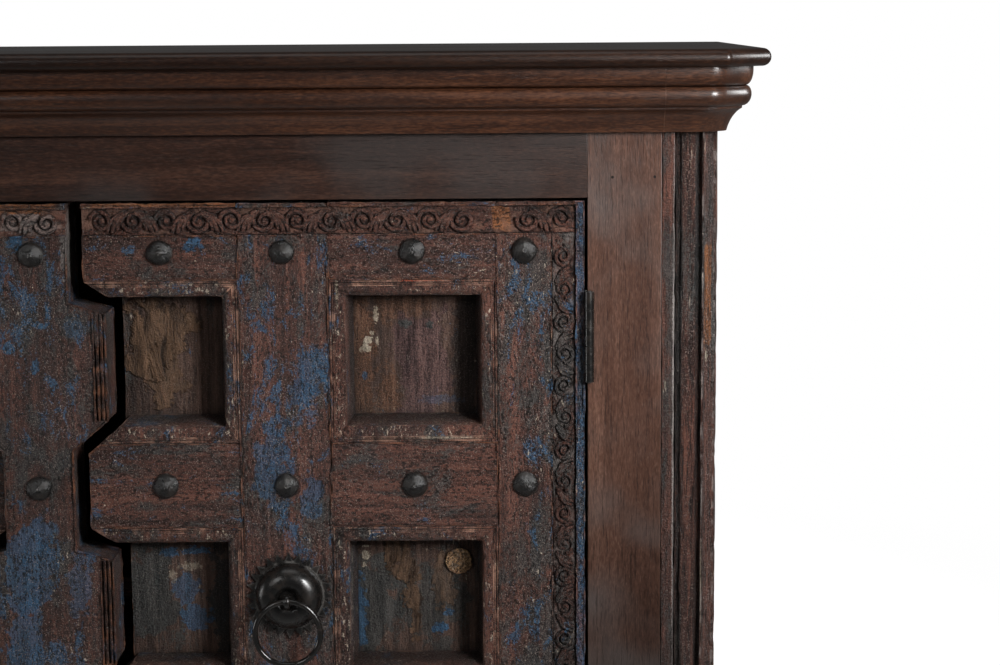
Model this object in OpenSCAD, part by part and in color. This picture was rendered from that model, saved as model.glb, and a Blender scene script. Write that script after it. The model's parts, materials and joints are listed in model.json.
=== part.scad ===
// Carved two-door sideboard: a new dark hardwood cabinet built round a pair of old panelled doors.
// Z is up, the front faces -Y, and the origin is the middle of the footprint on the floor.

/* [Body] */
// Width of the body over its two sides
body_w = 1240; // [1080:5:1600]
// Depth of the body from the face frame's front to its back
body_d = 405; // [340:5:500]
// Overall height with the top board
total_h = 990; // [900:5:1100]

/* [Face frame] */
// Width of each stile beside the doors
stile_w = 67; // [50:1:90]
// Thickness of the stiles and rails
frame_t = 44; // [38:1:52]
// Visible height of the rail above the doors
top_rail_h = 59; // [40:0.5:80]
// Visible height of the rail below the doors
bottom_rail_h = 45; // [30:1:70]
// Width of the bevelled strip between stile and corner post
strip_w = 12; // [8:0.5:18]
// How far the strip's outer edge stands proud
strip_rise = 3.5; // [1:0.5:6]
// Thickness of the bevelled strip behind the frame's face
strip_t = 22; // [14:1:30]
// Width of the reeded corner post on each face
post_w = 39; // [34:1:50]
// Leg of the flat that cants the post's outer corner
cant = 14; // [8:1:18]
// Depth of the post's broad reed
reed_depth = 4.5; // [2:0.5:6]
// Width of the grooves on either side of the reed
groove_w = 4; // [2.5:0.5:5]

/* [Cornice] */
// Thickness of the top board and its rounded nose
nose_h = 16; // [12:1:22]
// Projection of the nose from the body
nose_out = 46; // [40:1:60]
// Height of the quarter-round layer under the top board
ovolo_h = 17; // [12:0.5:24]
// Projection of the quarter-round layer
ovolo_out = 31.5; // [29:0.5:38]
// Projection of the waist below the quarter-round
waist_out = 25; // [20:0.5:28]
// Height of the half-round layer
torus_h = 18.5; // [12:0.5:24]
// Projection of the half-round layer
torus_out = 30; // [29:0.5:36]
// Height of the small fillet under the half-round
fillet_h = 2; // [1:0.5:5]
// Projection of the small fillet
fillet_out = 22; // [16:0.5:24]
// Height of the cove that meets the body
cove_h = 20.5; // [14:0.5:28]
// Projection of the cove's lower edge
cove_out = 8.5; // [4:0.5:12]
// Length of the corner pieces along the front and the side
corner_len = 50; // [40:1:90]

/* [Plinth] */
// Height of the plinth moulding
plinth_h = 58; // [40:1:80]
// Projection of the plinth at the floor
plinth_out = 30; // [20:1:40]
// Height of the plinth's plain foot
plinth_foot_h = 32; // [20:1:36]
// Projection of the plinth's upper edge
plinth_top_out = 8; // [4:0.5:14]

/* [Carcass] */
// Thickness of the side frames
side_t = 30; // [24:1:36]
// Width of the upright members of the side frames
side_stile_w = 59; // [45:1:80]
// Thickness of the side panels
side_panel_t = 12; // [8:1:16]
// Setback of the side panels from the frames' outer face
side_panel_in = 9; // [5:1:12]
// Thickness of the back boards
back_t = 12; // [8:1:16]
// Number of back boards
back_boards_n = 6; // [4:1:9]
// Thickness of the rails that carry the back boards
back_rail_t = 20; // [16:1:26]
// Thickness of the floor and of the shelf
shelf_t = 18; // [14:1:24]
// Height of the shelf's top above the doors' lower edge
shelf_rise = 385; // [250:5:480]
// Section of the cleats that carry the floor and the shelf
cleat_s = 20; // [15:1:28]
// Gap between the doors' back and the shelf's front
shelf_back = 14; // [8:1:40]
// Height of the lip that stops the doors
stop_lip = 14; // [8:1:24]
// Thickness of that lip
stop_t = 13.4; // [8:0.2:18]
// Height of the door stop behind the top rail
stop_rise = 24; // [16:1:34]
// Height of the door stop's rebate above the opening
stop_rebate = 4; // [3:0.5:8]
// Gap between the closed doors and their stop
stop_gap = 0.6; // [0.3:0.1:1.5]

/* [Doors] */
// Clearance round each door in its opening
door_gap = 2.4; // [2.2:0.1:4]
// Thickness of the boards of the door's grid
grid_t = 40; // [30:1:46]
// Thickness of the boards behind the grid
backing_t = 16; // [12:1:22]
// Distance of the muntin's centre from the cabinet's centre line
muntin_x = 226; // [205:1:260]
// Width of the muntin
muntin_w = 82; // [60:1:90]
// Plain width of the door's hinge stile
hinge_stile_w = 50; // [38:1:60]
// Width of the upright carved strip
upright_w = 21; // [20:0.5:26]
// Width of the plain edge outside the upright carved strip
edge_w = 8.6; // [5:0.2:14]
// Plain height of the first and last rails
outer_rail_h = 41.5; // [30:0.5:50]
// Height of the two middle rails
middle_rail_h = 79; // [60:1:90]
// Height of the carved band across the top and bottom
frieze_h = 25; // [23.5:0.5:32]
// Height of the plain border beyond the carved band
border_h = 4; // [2:0.5:10]

/* [Recess mouldings] */
// Width of the moulding round each recess
mould_w = 15; // [11:0.5:20]
// Drop of the moulding's inner edge below the door's face
mould_drop = 6; // [3:0.5:9]
// Width of each of the two beads beside the boards
bead_w = 2.6; // [1.5:0.1:4]
// Height of these beads
bead_h = 0.9; // [0.4:0.1:1.5]
// Slope of the recess walls over their depth
draft = 5; // [2:0.5:8]
// Open joint at each mitre
mitre_gap = 0.2; // [0.1:0.05:0.5]

/* [Centre plank] */
// Width of the plank beside the recesses
plank_w = 130; // [110:1:150]
// Width of the plank in its notches
plank_neck_w = 64; // [50:1:76]
// How far the plank stands proud of the doors
plank_proud = 6; // [2:0.5:10]
// Height of the sloping shoulder above each wide part
shoulder_up = 10; // [4:1:16]
// Height of the sloping shoulder below each wide part
shoulder_down = 28; // [14:1:30]
// Distance of a wide part's top below the recess's top
wide_drop = 14; // [4:1:24]
// Distance of a wide part's bottom above the recess's bottom
wide_lift = 8; // [2:1:16]
// Gap between the plank's neck and the free door's rail ends
free_gap = 13; // [8:0.5:18]
// Gap between the plank's wide parts and the free door's boards
board_gap = 8; // [6:0.5:12]
// Joint between the plank's neck and the rails of its own door
scribe_gap = 0.4; // [0.2:0.1:1]
// Slope of the rail ends' lower corners, fall over run
end_fall = 0.68; // [0.5:0.02:0.9]
// Slope of the rail ends' upper corners, rise over run
end_rise = 0.86; // [0.6:0.02:1]
// Height cut from the upper corner of a rail's end
end_cut = 9; // [4:0.5:14]
// Width of the fluted edge beside each recess
flute_w = 12; // [8:0.5:18]
// Depth and width of each flute
flute_s = 2; // [1:0.1:2.4]

/* [Carving] */
// Spacing of the scrolls
scroll_pitch = 29.7; // [27:0.1:36]
// Diameter of each scroll
scroll_d = 18.5; // [15:0.5:19]
// Turns in each scroll
scroll_turns = 1.6; // [1.2:0.1:1.8]
// Width of the scroll's ridge
scroll_ridge = 2.2; // [1.6:0.1:2.4]
// Depth of the carved ground below the door's face
ground_in = 1.2; // [0.6:0.1:2]
// How far the scrolls stand proud of the door's face
scroll_out = 1.4; // [0.5:0.1:2.5]
// Thickness of the carved strips behind their ground
carved_t = 3; // [2:0.5:5]

/* [Studs] */
// Diameter of the forged studs
stud_d = 26; // [18:1:30]
// Height of the forged studs
stud_h = 9; // [5:0.5:12]
// How far the first and last rows lie beyond their rails' middle
stud_shift = 5; // [0:0.5:6]

/* [Ring pulls] */
// Diameter over the tips of the toothed plate
rays_d = 81; // [74:1:81]
// Number of teeth on the plate
rays_n = 26; // [18:1:32]
// Height of the teeth
ray_h = 7; // [4:0.5:8]
// Thickness of the toothed plate
rose_t = 1.5; // [1:0.1:3]
// Diameter of the dome
dome_d = 64; // [50:1:64]
// Height of the dome above its plate
dome_h = 17; // [10:0.5:20]
// Height and width of the thin rim round the dome
rim_s = 1.2; // [0.6:0.1:2]
// Radius of the crest round the dome's dimple
crest_r = 15; // [13:0.5:18]
// Depth of the dimple
dimple_h = 7; // [3:0.5:9]
// Gap between the hanging ring and the crest
ring_gap = 2.4; // [1.5:0.1:5]
// Mean radius of the eye that holds the ring
eye_r = 5.5; // [5.3:0.1:7]
// Thickness of the eye's wire
eye_wire = 3.6; // [3:0.1:3.8]
// Clearance of the eye's shank in the dome
shank_fit = 0.2; // [0.1:0.05:0.4]
// Overall diameter of the ring
ring_d = 66; // [56:1:72]
// Thickness of the ring's wire
ring_wire = 6.2; // [4:0.1:6.4]
// Height of the pull above the door's middle
pull_rise = 11; // [-20:1:20]

/* [Hinges] */
// Length of each hinge
hinge_len = 83; // [60:1:110]
// Distance of the hinges from the ends of the door
hinge_in = 82; // [50:1:140]
// Diameter of the hinge barrel
barrel_d = 8.4; // [7.6:0.1:8.6]
// Diameter of the hinge pin
pin_d = 3.9; // [3:0.1:3.9]
// Radial clearance of the pin in its knuckles
pin_fit = 0.05; // [0.02:0.01:0.08]
// How far the pin stands out of its end knuckles
pin_end = 0.8; // [0.4:0.1:2]
// Thickness of the hinge leaves
leaf_t = 1; // [0.8:0.05:1]
// Depth of the hinge leaves behind the frame's face
leaf_d = 34; // [24:1:36]
// Gap between neighbouring knuckles
knuckle_gap = 0.5; // [0.3:0.1:1]

/* [Hidden] */

$fn = 48;
old_wood = [0.27, 0.17, 0.13];
new_wood = [0.20, 0.11, 0.08];
plain_wood = [0.33, 0.21, 0.14];
blue_wood = [0.20, 0.25, 0.31];
iron = [0.07, 0.07, 0.08];

// Levels and lines of the body
half_w = body_w / 2;
front_y = (nose_out - body_d) / 2;
under_top = total_h - nose_h;
cornice_h = ovolo_h + torus_h + fillet_h + cove_h;
cornice_z = under_top - cornice_h;
opening_top = cornice_z - top_rail_h;
opening_bottom = plinth_h + bottom_rail_h;
strip_x = half_w - post_w - strip_w;
opening_x = strip_x - stile_w;
side_in = half_w - side_t;
back_in = body_d - back_t;
mitre = tan(22.5);
joint_play = 0.6;

// Levels and lines of the doors, from the hinge edge inwards and from the top down
door_top = opening_top - door_gap;
door_bottom = opening_bottom + door_gap;
door_h = door_top - door_bottom;
door_mid = (door_top + door_bottom) / 2;
door_x = opening_x - door_gap;
door_t = grid_t + backing_t;
upright_x = door_x - edge_w - upright_w;
hinge_stile_x = upright_x - hinge_stile_w;
muntin_in = muntin_x - muntin_w / 2;
muntin_out = muntin_x + muntin_w / 2;
recess_h = (door_h - 2 * (border_h + frieze_h + outer_rail_h) - 2 * middle_rail_h) / 3 - 2 * mould_w;
row_pitch = recess_h + 2 * mould_w + middle_rail_h;
first_rail_z = door_top - border_h - frieze_h - outer_rail_h;
wall_w = mould_w + draft;
frieze_z = door_top - border_h - frieze_h;
plank_half = plank_w / 2;
neck_half = plank_neck_w / 2;

// Top and bottom of a recess with its moulding, for rows 0 to 2
function row_top(r) = first_rail_z - r * row_pitch;
function row_bottom(r) = row_top(r) - recess_h - 2 * mould_w;

// Points of an elliptical arc about (cx, cy)
function arc(cx, cy, rx, ry, from, to, n = 8) =
    [for (i = [0:n]) let (t = from + (to - from) * i / n) [cx + rx * cos(t), cy + ry * sin(t)]];

// Moulding sections as [projection, height]: a shallow cove, a fillet, a half round and a quarter round
cove_from = 160;
cove_to = 110;
cove_rx = (fillet_out - cove_out) / (cos(cove_to) - cos(cove_from));
cove_ry = cove_h / (sin(cove_to) - sin(cove_from));
ovolo_lip = 0.2;
torus_sag = torus_out - (fillet_out + waist_out) / 2;
torus_mid = cove_h + fillet_h + torus_h / 2;
cornice_section = concat(
    [[0, 0]],
    arc(cove_out - cove_rx * cos(cove_from), -cove_ry * sin(cove_from), cove_rx, cove_ry, cove_from, cove_to),
    [[fillet_out, cove_h + fillet_h]],
    [for (i = [1:9]) let (t = -90 + 18 * i)
        [fillet_out + (waist_out - fillet_out) * i / 10 + torus_sag * cos(t), torus_mid + torus_h / 2 * sin(t)]],
    arc(waist_out, cornice_h - ovolo_h * ovolo_lip, ovolo_out - waist_out, ovolo_h * (1 - ovolo_lip), -90, 0),
    [[ovolo_out, cornice_h], [0, cornice_h]]);
plinth_slope = plinth_h - plinth_foot_h - 6;
plinth_section = concat(
    [[0, 0], [plinth_out, 0], [plinth_out, plinth_foot_h], [plinth_out - 4, plinth_foot_h + 3]],
    arc(plinth_out - 4, plinth_h - 3, plinth_out - 4 - plinth_top_out, plinth_slope, 270, 180),
    [[plinth_top_out, plinth_h], [0, plinth_h]]);

// Places of the fittings on the door
stud_xs = [(neck_half + free_gap + muntin_in) / 2, muntin_x, (muntin_out + hinge_stile_x) / 2,
    hinge_stile_x + hinge_stile_w / 2];
stud_zs = [for (s = [1, -1]) each [door_mid + s * (row_pitch * 1.5 - middle_rail_h / 2 + outer_rail_h / 2 + stud_shift),
    door_mid + s * row_pitch / 2]];
pull_z = door_mid + pull_rise;
eye_y = -(rose_t + dome_h + ring_gap + ring_wire / 2);
ring_r = (ring_d - ring_wire) / 2;
axis_x = opening_x + 1.4;
axis_y = -(barrel_d / 2 + 0.4);
hinge_zs = [door_bottom + hinge_in, door_top - hinge_in - hinge_len];
pull_x = muntin_x;

module placed(side = 1) translate([0, front_y, 0]) mirror([side < 0 ? 1 : 0, 0, 0]) children();

module block(x, y, z) translate([x[0], y[0], z[0]]) cube([x[1] - x[0], y[1] - y[0], z[1] - z[0]]);

// A plate with the outline given in X and Z, between two depths
module slab(y0, y1) translate([0, y1, 0]) rotate([90, 0, 0]) linear_extrude(y1 - y0) children();

// A moulding run along X that projects to -Y, with its ends mitred or square
module run(section, reach, len, m0 = 0, m1 = 0) {
    high = max([for (p = section) p[1]]);
    intersection() {
        translate([-m0 * reach, 0, 0]) rotate([90, 0, 90]) linear_extrude(len + (m0 + m1) * reach)
            polygon([for (p = section) [-p[0], p[1]]]);
        linear_extrude(high) polygon([[0, 0], [len, 0], [len + m1 * reach, -reach], [-m0 * reach, -reach]]);
    }
}

// The piece that carries a moulding round the canted corner
module corner_run(section, reach) {
    along = corner_len - cant;
    union() {
        translate([half_w - corner_len, 0, 0]) run(section, reach, along, 0, mitre);
        translate([half_w - cant, 0, 0]) rotate(45) run(section, reach, cant * sqrt(2), mitre, mitre);
        translate([half_w, cant, 0]) rotate(90) run(section, reach, along, mitre, 0);
    }
}

module ball(r) rotate_extrude($fn = 32) polygon(arc(0, 0, r, r, -90, 90, 12));

module top_board() color(new_wood) placed() {
    r = nose_h / 2;
    inset = nose_out - r;
    translate([0, 0, total_h - r]) hull() for (s = [-1, 1]) {
        translate([s * (half_w - cant + inset * mitre), -inset, 0]) ball(r);
        translate([s * (half_w + inset), cant - inset * mitre, 0]) ball(r);
        translate([s * (half_w + inset), body_d, 0]) rotate([90, 0, 0]) cylinder(r = r, h = 1, $fn = 32);
    }
}

module cornice_front() color(new_wood) placed()
    translate([corner_len - half_w, 0, cornice_z]) run(cornice_section, nose_out, body_w - 2 * corner_len);
module cornice_corner(side) color(new_wood) placed(side)
    translate([0, 0, cornice_z]) corner_run(cornice_section, nose_out);
module cornice_side(side) color(new_wood) placed(side)
    translate([half_w, corner_len, cornice_z]) rotate(90) run(cornice_section, nose_out, body_d - corner_len);

module plinth_front() color(new_wood) placed()
    translate([corner_len - half_w, 0, 0]) run(plinth_section, plinth_out, body_w - 2 * corner_len);
module plinth_corner(side) color(new_wood) placed(side) corner_run(plinth_section, plinth_out);
module plinth_side(side) color(new_wood) placed(side)
    translate([half_w, corner_len, 0]) rotate(90) run(plinth_section, plinth_out, body_d - corner_len);

module top_rail() color(new_wood) placed() block([-opening_x, opening_x], [0, frame_t], [opening_top, under_top]);
module bottom_rail() color(new_wood) placed() block([-opening_x, opening_x], [0, frame_t], [0, opening_bottom]);
module stile(side) color(new_wood) placed(side) block([opening_x, strip_x], [0, frame_t], [0, under_top]);

// The bevelled strip's section, from the stile's edge to the post
strip_arris = 1.5;
strip_section = [[0, 0], [strip_w - strip_arris, -strip_rise], [strip_w, strip_arris - strip_rise],
    [strip_w, strip_t], [0, strip_t]];

module corner_strips(side) color(new_wood) placed(side) {
    high = cornice_z - plinth_h;
    translate([strip_x, 0, plinth_h]) linear_extrude(high) polygon(strip_section);
    translate([half_w, post_w + strip_w, plinth_h]) rotate(90) mirror([1, 0, 0]) linear_extrude(high)
        polygon(strip_section);
}

// Half of the post's outline from its inner edge to the cant, measured back from the outer corner
reed_w = post_w - cant - 2 * groove_w;
groove_depth = reed_depth + 1.5;
post_reeds = concat(
    [[-post_w, groove_depth]],
    arc(-cant - groove_w - reed_w / 2, reed_depth, reed_w / 2, reed_depth, 180, 360, 10),
    [[-cant - groove_w / 2, groove_depth], [-cant, 0]]);

module corner_post(side) color(old_wood) placed(side) translate([half_w, 0, 0]) linear_extrude(under_top)
    polygon(concat(post_reeds, [for (i = [len(post_reeds) - 1:-1:0]) [-post_reeds[i][1], -post_reeds[i][0]]],
        [[-post_w, post_w]]));

module side_frame(side) color(new_wood) placed(side) {
    front = post_w + strip_w;
    block([side_in, half_w], [front, front + side_stile_w], [0, under_top]);
    block([side_in, half_w], [body_d - side_stile_w, body_d], [0, under_top]);
    for (z = [[0, opening_bottom], [opening_top, under_top]])
        block([side_in, half_w], [front + side_stile_w + 0.2, body_d - side_stile_w - 0.2], z);
}

module side_panel(side) color(new_wood) placed(side)
    block([half_w - side_panel_in - side_panel_t, half_w - side_panel_in],
        [post_w + strip_w + side_stile_w, body_d - side_stile_w], [opening_bottom, opening_top]);

module back_rails() color(plain_wood) placed()
    for (z = [[0, opening_bottom - shelf_t], [opening_top, under_top]])
        block([-side_in, side_in], [back_in - back_rail_t, back_in], z);

module back_boards() color(plain_wood) placed() {
    pitch = 2 * side_in / back_boards_n;
    for (i = [0:back_boards_n - 1])
        block([-side_in + i * pitch + joint_play / 2, -side_in + (i + 1) * pitch - joint_play / 2],
            [back_in, body_d], [0, under_top]);
}

module floor_board() color(plain_wood) placed()
    block([-side_in, side_in], [frame_t, back_in], [opening_bottom - shelf_t, opening_bottom]);

shelf_z = door_bottom + shelf_rise;
module shelf() color(plain_wood) placed()
    block([-side_in, side_in], [door_t + shelf_back, back_in], [shelf_z - shelf_t, shelf_z]);

module cleats(z) for (s = [0, 1]) mirror([s, 0, 0])
    block([side_in - cleat_s, side_in], [door_t + shelf_back, back_in - back_rail_t], [z - cleat_s, z]);
module floor_cleats() color(plain_wood) placed() cleats(opening_bottom - shelf_t);
module shelf_cleats() color(plain_wood) placed() cleats(shelf_z - shelf_t);

// The rebated strip behind the top rail that the closed doors meet
module door_stop() color(plain_wood) placed() {
    lip = door_t + stop_gap;
    translate([-opening_x, 0, opening_top]) rotate([90, 0, 90]) linear_extrude(2 * opening_x)
        polygon([[frame_t, stop_rebate], [lip, stop_rebate], [lip, -stop_lip], [lip + stop_t, -stop_lip],
            [lip + stop_t, stop_rise], [frame_t, stop_rise]]);
}

// The notched outline of the centre plank's right half, from the bottom up
function plank_side(s) = concat([[s * neck_half, door_bottom]],
    [for (r = [2:-1:0]) let (lo = row_bottom(r) + mould_w + wide_lift, hi = row_top(r) - mould_w - wide_drop)
        each [[s * neck_half, lo - shoulder_down], [s * plank_half, lo], [s * plank_half, hi],
            [s * neck_half, hi + shoulder_up]]],
    [[s * neck_half, door_top]]);

module centre_plank() color(old_wood) placed() difference() {
    right = plank_side(1);
    left = plank_side(-1);
    slab(-plank_proud, grid_t) polygon(concat(right, [for (i = [len(left) - 1:-1:0]) left[i]]));
    for (z = [frieze_z, door_bottom + border_h])
        block([-neck_half, neck_half], [-plank_proud, ground_in + carved_t - plank_proud], [z, z + frieze_h]);
    for (s = [-1, 1], r = [0:2], i = [1:3])
        translate([s * (plank_half - flute_w * (i - 0.5) / 3), 0, 0])
            block([-flute_s / 2, flute_s / 2], [-plank_proud, flute_s - plank_proud],
                [row_bottom(r) + mould_w + wide_lift, row_top(r) - mould_w - wide_drop]);
}

// One carved scroll in the plane of the face, wound inwards from its rim
module scroll() {
    n = 22;
    rim = scroll_d / 2;
    core = scroll_d * 0.16;
    path = [for (i = [0:n]) [360 * scroll_turns * i / n, rim - (rim - core - scroll_ridge) * i / n]];
    polygon(concat([for (p = path) p[1] * [cos(p[0]), sin(p[0])]],
        [for (i = [n:-1:0]) (path[i][1] - scroll_ridge) * [cos(path[i][0]), sin(path[i][0])]]));
}

// Leaf strokes between the scrolls: length, width, spacing and slant
leaf_len = scroll_d * 0.62;
leaf_w = 1.7;
leaf_step = 2.7;
leaf_slant = 62;

// A row of scrolls along X, every other one turned over, with three leaf strokes after each
module scroll_row(len) {
    n = floor(len / scroll_pitch);
    for (i = [0:n - 1]) translate([(i - (n - 1) / 2) * scroll_pitch, 0]) mirror([0, i % 2, 0]) {
        scroll();
        if (i < n - 1) for (k = [-1:1]) translate([scroll_pitch / 2 + k * leaf_step, 0]) rotate(-leaf_slant)
            square([leaf_len, leaf_w], center = true);
    }
}

// A carved strip that fills a rebate from x0 to x1, centred on height z
module carved_strip(x0, x1, z, high, face = 0) {
    slab(face + ground_in, face + ground_in + carved_t) translate([x0, z - high / 2]) square([x1 - x0, high]);
    slab(face - scroll_out, face + ground_in + 0.5) translate([(x0 + x1) / 2, z]) scroll_row(x1 - x0);
}

frieze_mids = [frieze_z + frieze_h / 2, door_bottom + border_h + frieze_h / 2];
upright_lo = door_bottom + border_h + frieze_h;
function rail_end(side) = neck_half + (side > 0 ? free_gap : scribe_gap);

module frieze(side) color(old_wood) placed(side) for (z = frieze_mids)
    carved_strip(rail_end(side), door_x - edge_w, z, frieze_h);

module plank_frieze() for (z = frieze_mids)
    carved_strip(-neck_half, neck_half, z, frieze_h, -plank_proud);

module upright_carving(side) color(old_wood) placed(side)
    translate([upright_x + upright_w / 2, 0, (upright_lo + frieze_z) / 2]) rotate([0, 90, 0])
        carved_strip((upright_lo - frieze_z) / 2, (frieze_z - upright_lo) / 2, 0, upright_w);

// Rebates for the carved strips in the boards of one door
module carving_rebates() {
    deep = ground_in + carved_t;
    for (z = frieze_mids)
        block([0, door_x - edge_w], [-1, deep], [z - frieze_h / 2, z + frieze_h / 2]);
    block([upright_x, upright_x + upright_w], [-1, deep], [upright_lo - 1, frieze_z + 1]);
}

module hinge_stile(side) color(blue_wood) placed(side) difference() {
    block([hinge_stile_x, door_x], [0, grid_t], [door_bottom, door_top]);
    carving_rebates();
}

module muntin(side) color(blue_wood) placed(side) difference() {
    block([muntin_in, muntin_out], [0, grid_t], [door_bottom, door_top]);
    carving_rebates();
}

// A rail's two lengths, the inner with its free end cut to lo_cut and hi_cut at its corners
module rail_pair(end, z0, z1, lo_cut, hi_cut) {
    slab(0, grid_t) polygon([[end, z0 + lo_cut], [end, z1 - hi_cut], [end + hi_cut / end_rise, z1],
        [muntin_in, z1], [muntin_in, z0], [end + lo_cut / end_fall, z0]]);
    block([muntin_out, hinge_stile_x], [0, grid_t], [z0, z1]);
}

module outer_rails(side) color(old_wood) placed(side) difference() {
    union() {
        rail_pair(rail_end(side), first_rail_z, door_top, 0, 0);
        rail_pair(rail_end(side), door_bottom, row_bottom(2), 0, end_cut);
    }
    carving_rebates();
}

module middle_rails(side) color(old_wood) placed(side)
    for (r = [0, 1]) rail_pair(rail_end(side), row_top(r + 1), row_bottom(r), 0, end_cut);

// Two boards behind the grid, whose joint lies behind the muntin
module backing(side) color(plain_wood) placed(side) {
    start = side > 0 ? plank_half + board_gap : 1 - neck_half;
    block([start, muntin_x - joint_play / 2], [grid_t, door_t], [door_bottom, door_top]);
    block([muntin_x + joint_play / 2, door_x], [grid_t, door_t], [door_bottom, door_top]);
}

// Section of a recess moulding as [depth, distance from the board]: two beads, a broad round, then the sloping wall
bead_step = 0.3;
round_top = 3 * bead_step;
round_drop = mould_drop - round_top;
mould_section = concat(
    [[grid_t, 0], [bead_h + bead_step, 0]],
    [for (i = [0, 1]) each arc(bead_h + bead_step * (i + 1), bead_w * (i + 0.5), bead_h, bead_w * 0.45, 270, 90, 6)],
    arc(round_top + 2 * round_drop, 2 * bead_w, 2 * round_drop, (mould_w - 2 * bead_w) / sin(120), 180, 120, 6),
    [[grid_t, wall_w]]);

// One length of recess moulding along X that grows to +Z, whose ends fall back by a0 and a1 per height
module mould_leg(len, a0, a1) intersection() {
    rotate([90, 0, 90]) linear_extrude(len) polygon(mould_section);
    slab(0, grid_t) polygon([[mitre_gap / 2, 0], [len - mitre_gap / 2, 0],
        [len - a1 * wall_w - mitre_gap / 2, wall_w], [a0 * wall_w + mitre_gap / 2, wall_w]]);
}

module recess_mouldings(end, r) {
    high = row_top(r) - row_bottom(r);
    wide = hinge_stile_x - muntin_out;
    // Outer recess: all four sides
    translate([muntin_out, 0, row_bottom(r)]) mould_leg(wide, 1, 1);
    translate([muntin_out, 0, row_top(r)]) mirror([0, 0, 1]) mould_leg(wide, 1, 1);
    translate([hinge_stile_x, 0, row_bottom(r)]) rotate([0, -90, 0]) mould_leg(high, 1, 1);
    translate([muntin_out, 0, row_top(r)]) rotate([0, 90, 0]) mould_leg(high, 1, 1);
    // Inner recess: the plank closes its fourth side
    low = end + end_cut / end_rise;
    translate([low, 0, row_bottom(r)]) mould_leg(muntin_in - low, 1 / end_rise, 1);
    translate([end, 0, row_top(r)]) mirror([0, 0, 1]) mould_leg(muntin_in - end, 1 / end_fall, 1);
    translate([muntin_in, 0, row_bottom(r)]) rotate([0, -90, 0]) mould_leg(high, 1, 1);
}

module mouldings(side) color(old_wood) placed(side) for (r = [0:2]) recess_mouldings(rail_end(side), r);

// A hand-forged stud: a rounded cone with a blunt tip, seated on the face at y
stud_rim = 1;
stud_tip = 2;
stud_shoulder = stud_h - 1.2;
module stud(x, z, y = 0) translate([x, y, z]) rotate([90, 0, 0]) rotate_extrude()
    polygon(concat([[0, 0], [stud_d / 2, 0]],
        arc(stud_tip + 1, stud_rim, stud_d / 2 - stud_tip - 1, stud_shoulder - stud_rim, 0, 90, 7),
        [[stud_tip, stud_h], [0, stud_h]]));

module studs(side) color(iron) placed(side) {
    for (x = stud_xs, z = stud_zs) stud(x, z);
    if (side < 0) for (z = stud_zs) stud(0, z, -plank_proud);
}

// Section of the dome: a thin rim, a full round up to the crest and a dimple round the eye's shank
dome_rise = dome_h - rim_s;
dimple_w = crest_r * 0.55;
dome_section = concat(
    [[0, 0], [dome_d / 2, 0], [dome_d / 2, rim_s]],
    arc(crest_r, rim_s, dome_d / 2 - rim_s - crest_r, dome_rise, 0, 90, 10),
    arc(crest_r, dome_h - dimple_h, dimple_w, dimple_h, 99, 180, 8),
    [[0, dome_h - dimple_h]]);

// The toothed plate with its dome, on the muntin
module rose(side) color(iron) placed(side) translate([pull_x, 0, pull_z]) rotate([90, 0, 0]) difference() {
    union() {
        linear_extrude(rose_t) polygon([for (i = [0:2 * rays_n - 1]) let (a = 180 * i / rays_n)
            (rays_d / 2 - (i % 2) * ray_h) * [sin(a), cos(a)]]);
        translate([0, 0, rose_t]) rotate_extrude() polygon(dome_section);
    }
    translate([0, 0, -1]) cylinder(d = eye_wire + 2 * shank_fit, h = dome_h + 10);
}

// The eye: a wire loop on a shank that passes through the dome
module eye(side) color(iron) placed(side) translate([pull_x, 0, pull_z]) union() {
    translate([0, eye_y, 0]) rotate([0, 90, 0]) rotate_extrude() translate([eye_r, 0]) circle(d = eye_wire, $fn = 24);
    rotate([90, 0, 0]) cylinder(d = eye_wire, h = -eye_y - eye_r);
}

module ring(side) color(iron) placed(side) translate([pull_x, eye_y, pull_z - ring_r]) rotate([90, 0, 0])
    rotate_extrude($fn = 64) translate([ring_r, 0]) circle(d = ring_wire, $fn = 24);

knuckles_n = 5;
knuckle_len = (hinge_len - (knuckles_n - 1) * knuckle_gap) / knuckles_n;
frame_knuckles = [for (i = [0:2:knuckles_n - 1]) i];
door_knuckles = [for (i = [1:2:knuckles_n - 1]) i];

// The knuckles numbered in list, each with a tongue to the leaf that lies at leaf_x from the axis
module knuckles(list, leaf_x) for (i = list) translate([0, 0, i * (knuckle_len + knuckle_gap)]) difference() {
    union() {
        cylinder(d = barrel_d, h = knuckle_len);
        translate([leaf_x, barrel_d / 4, 0]) cube([leaf_t, barrel_d / 2, knuckle_len]);
    }
    translate([0, 0, -1]) cylinder(d = pin_d + 2 * pin_fit, h = knuckle_len + 2);
}

module leaf(list, leaf_x) translate([axis_x, axis_y, 0]) for (z = hinge_zs) translate([0, 0, z]) union() {
    knuckles(list, leaf_x);
    translate([leaf_x, 0.5 - axis_y, 0]) cube([leaf_t, leaf_d, hinge_len]);
}

module hinge_frame_leaves() color(iron) for (side = [-1, 1]) placed(side)
    leaf(frame_knuckles, opening_x - leaf_t - axis_x);
module hinge_leaves(side) color(iron) placed(side) leaf(door_knuckles, door_x - axis_x);
module hinge_pins() color(iron) for (side = [-1, 1]) placed(side)
    for (z = hinge_zs) translate([axis_x, axis_y, z - pin_end]) cylinder(d = pin_d, h = hinge_len + 2 * pin_end);

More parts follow.
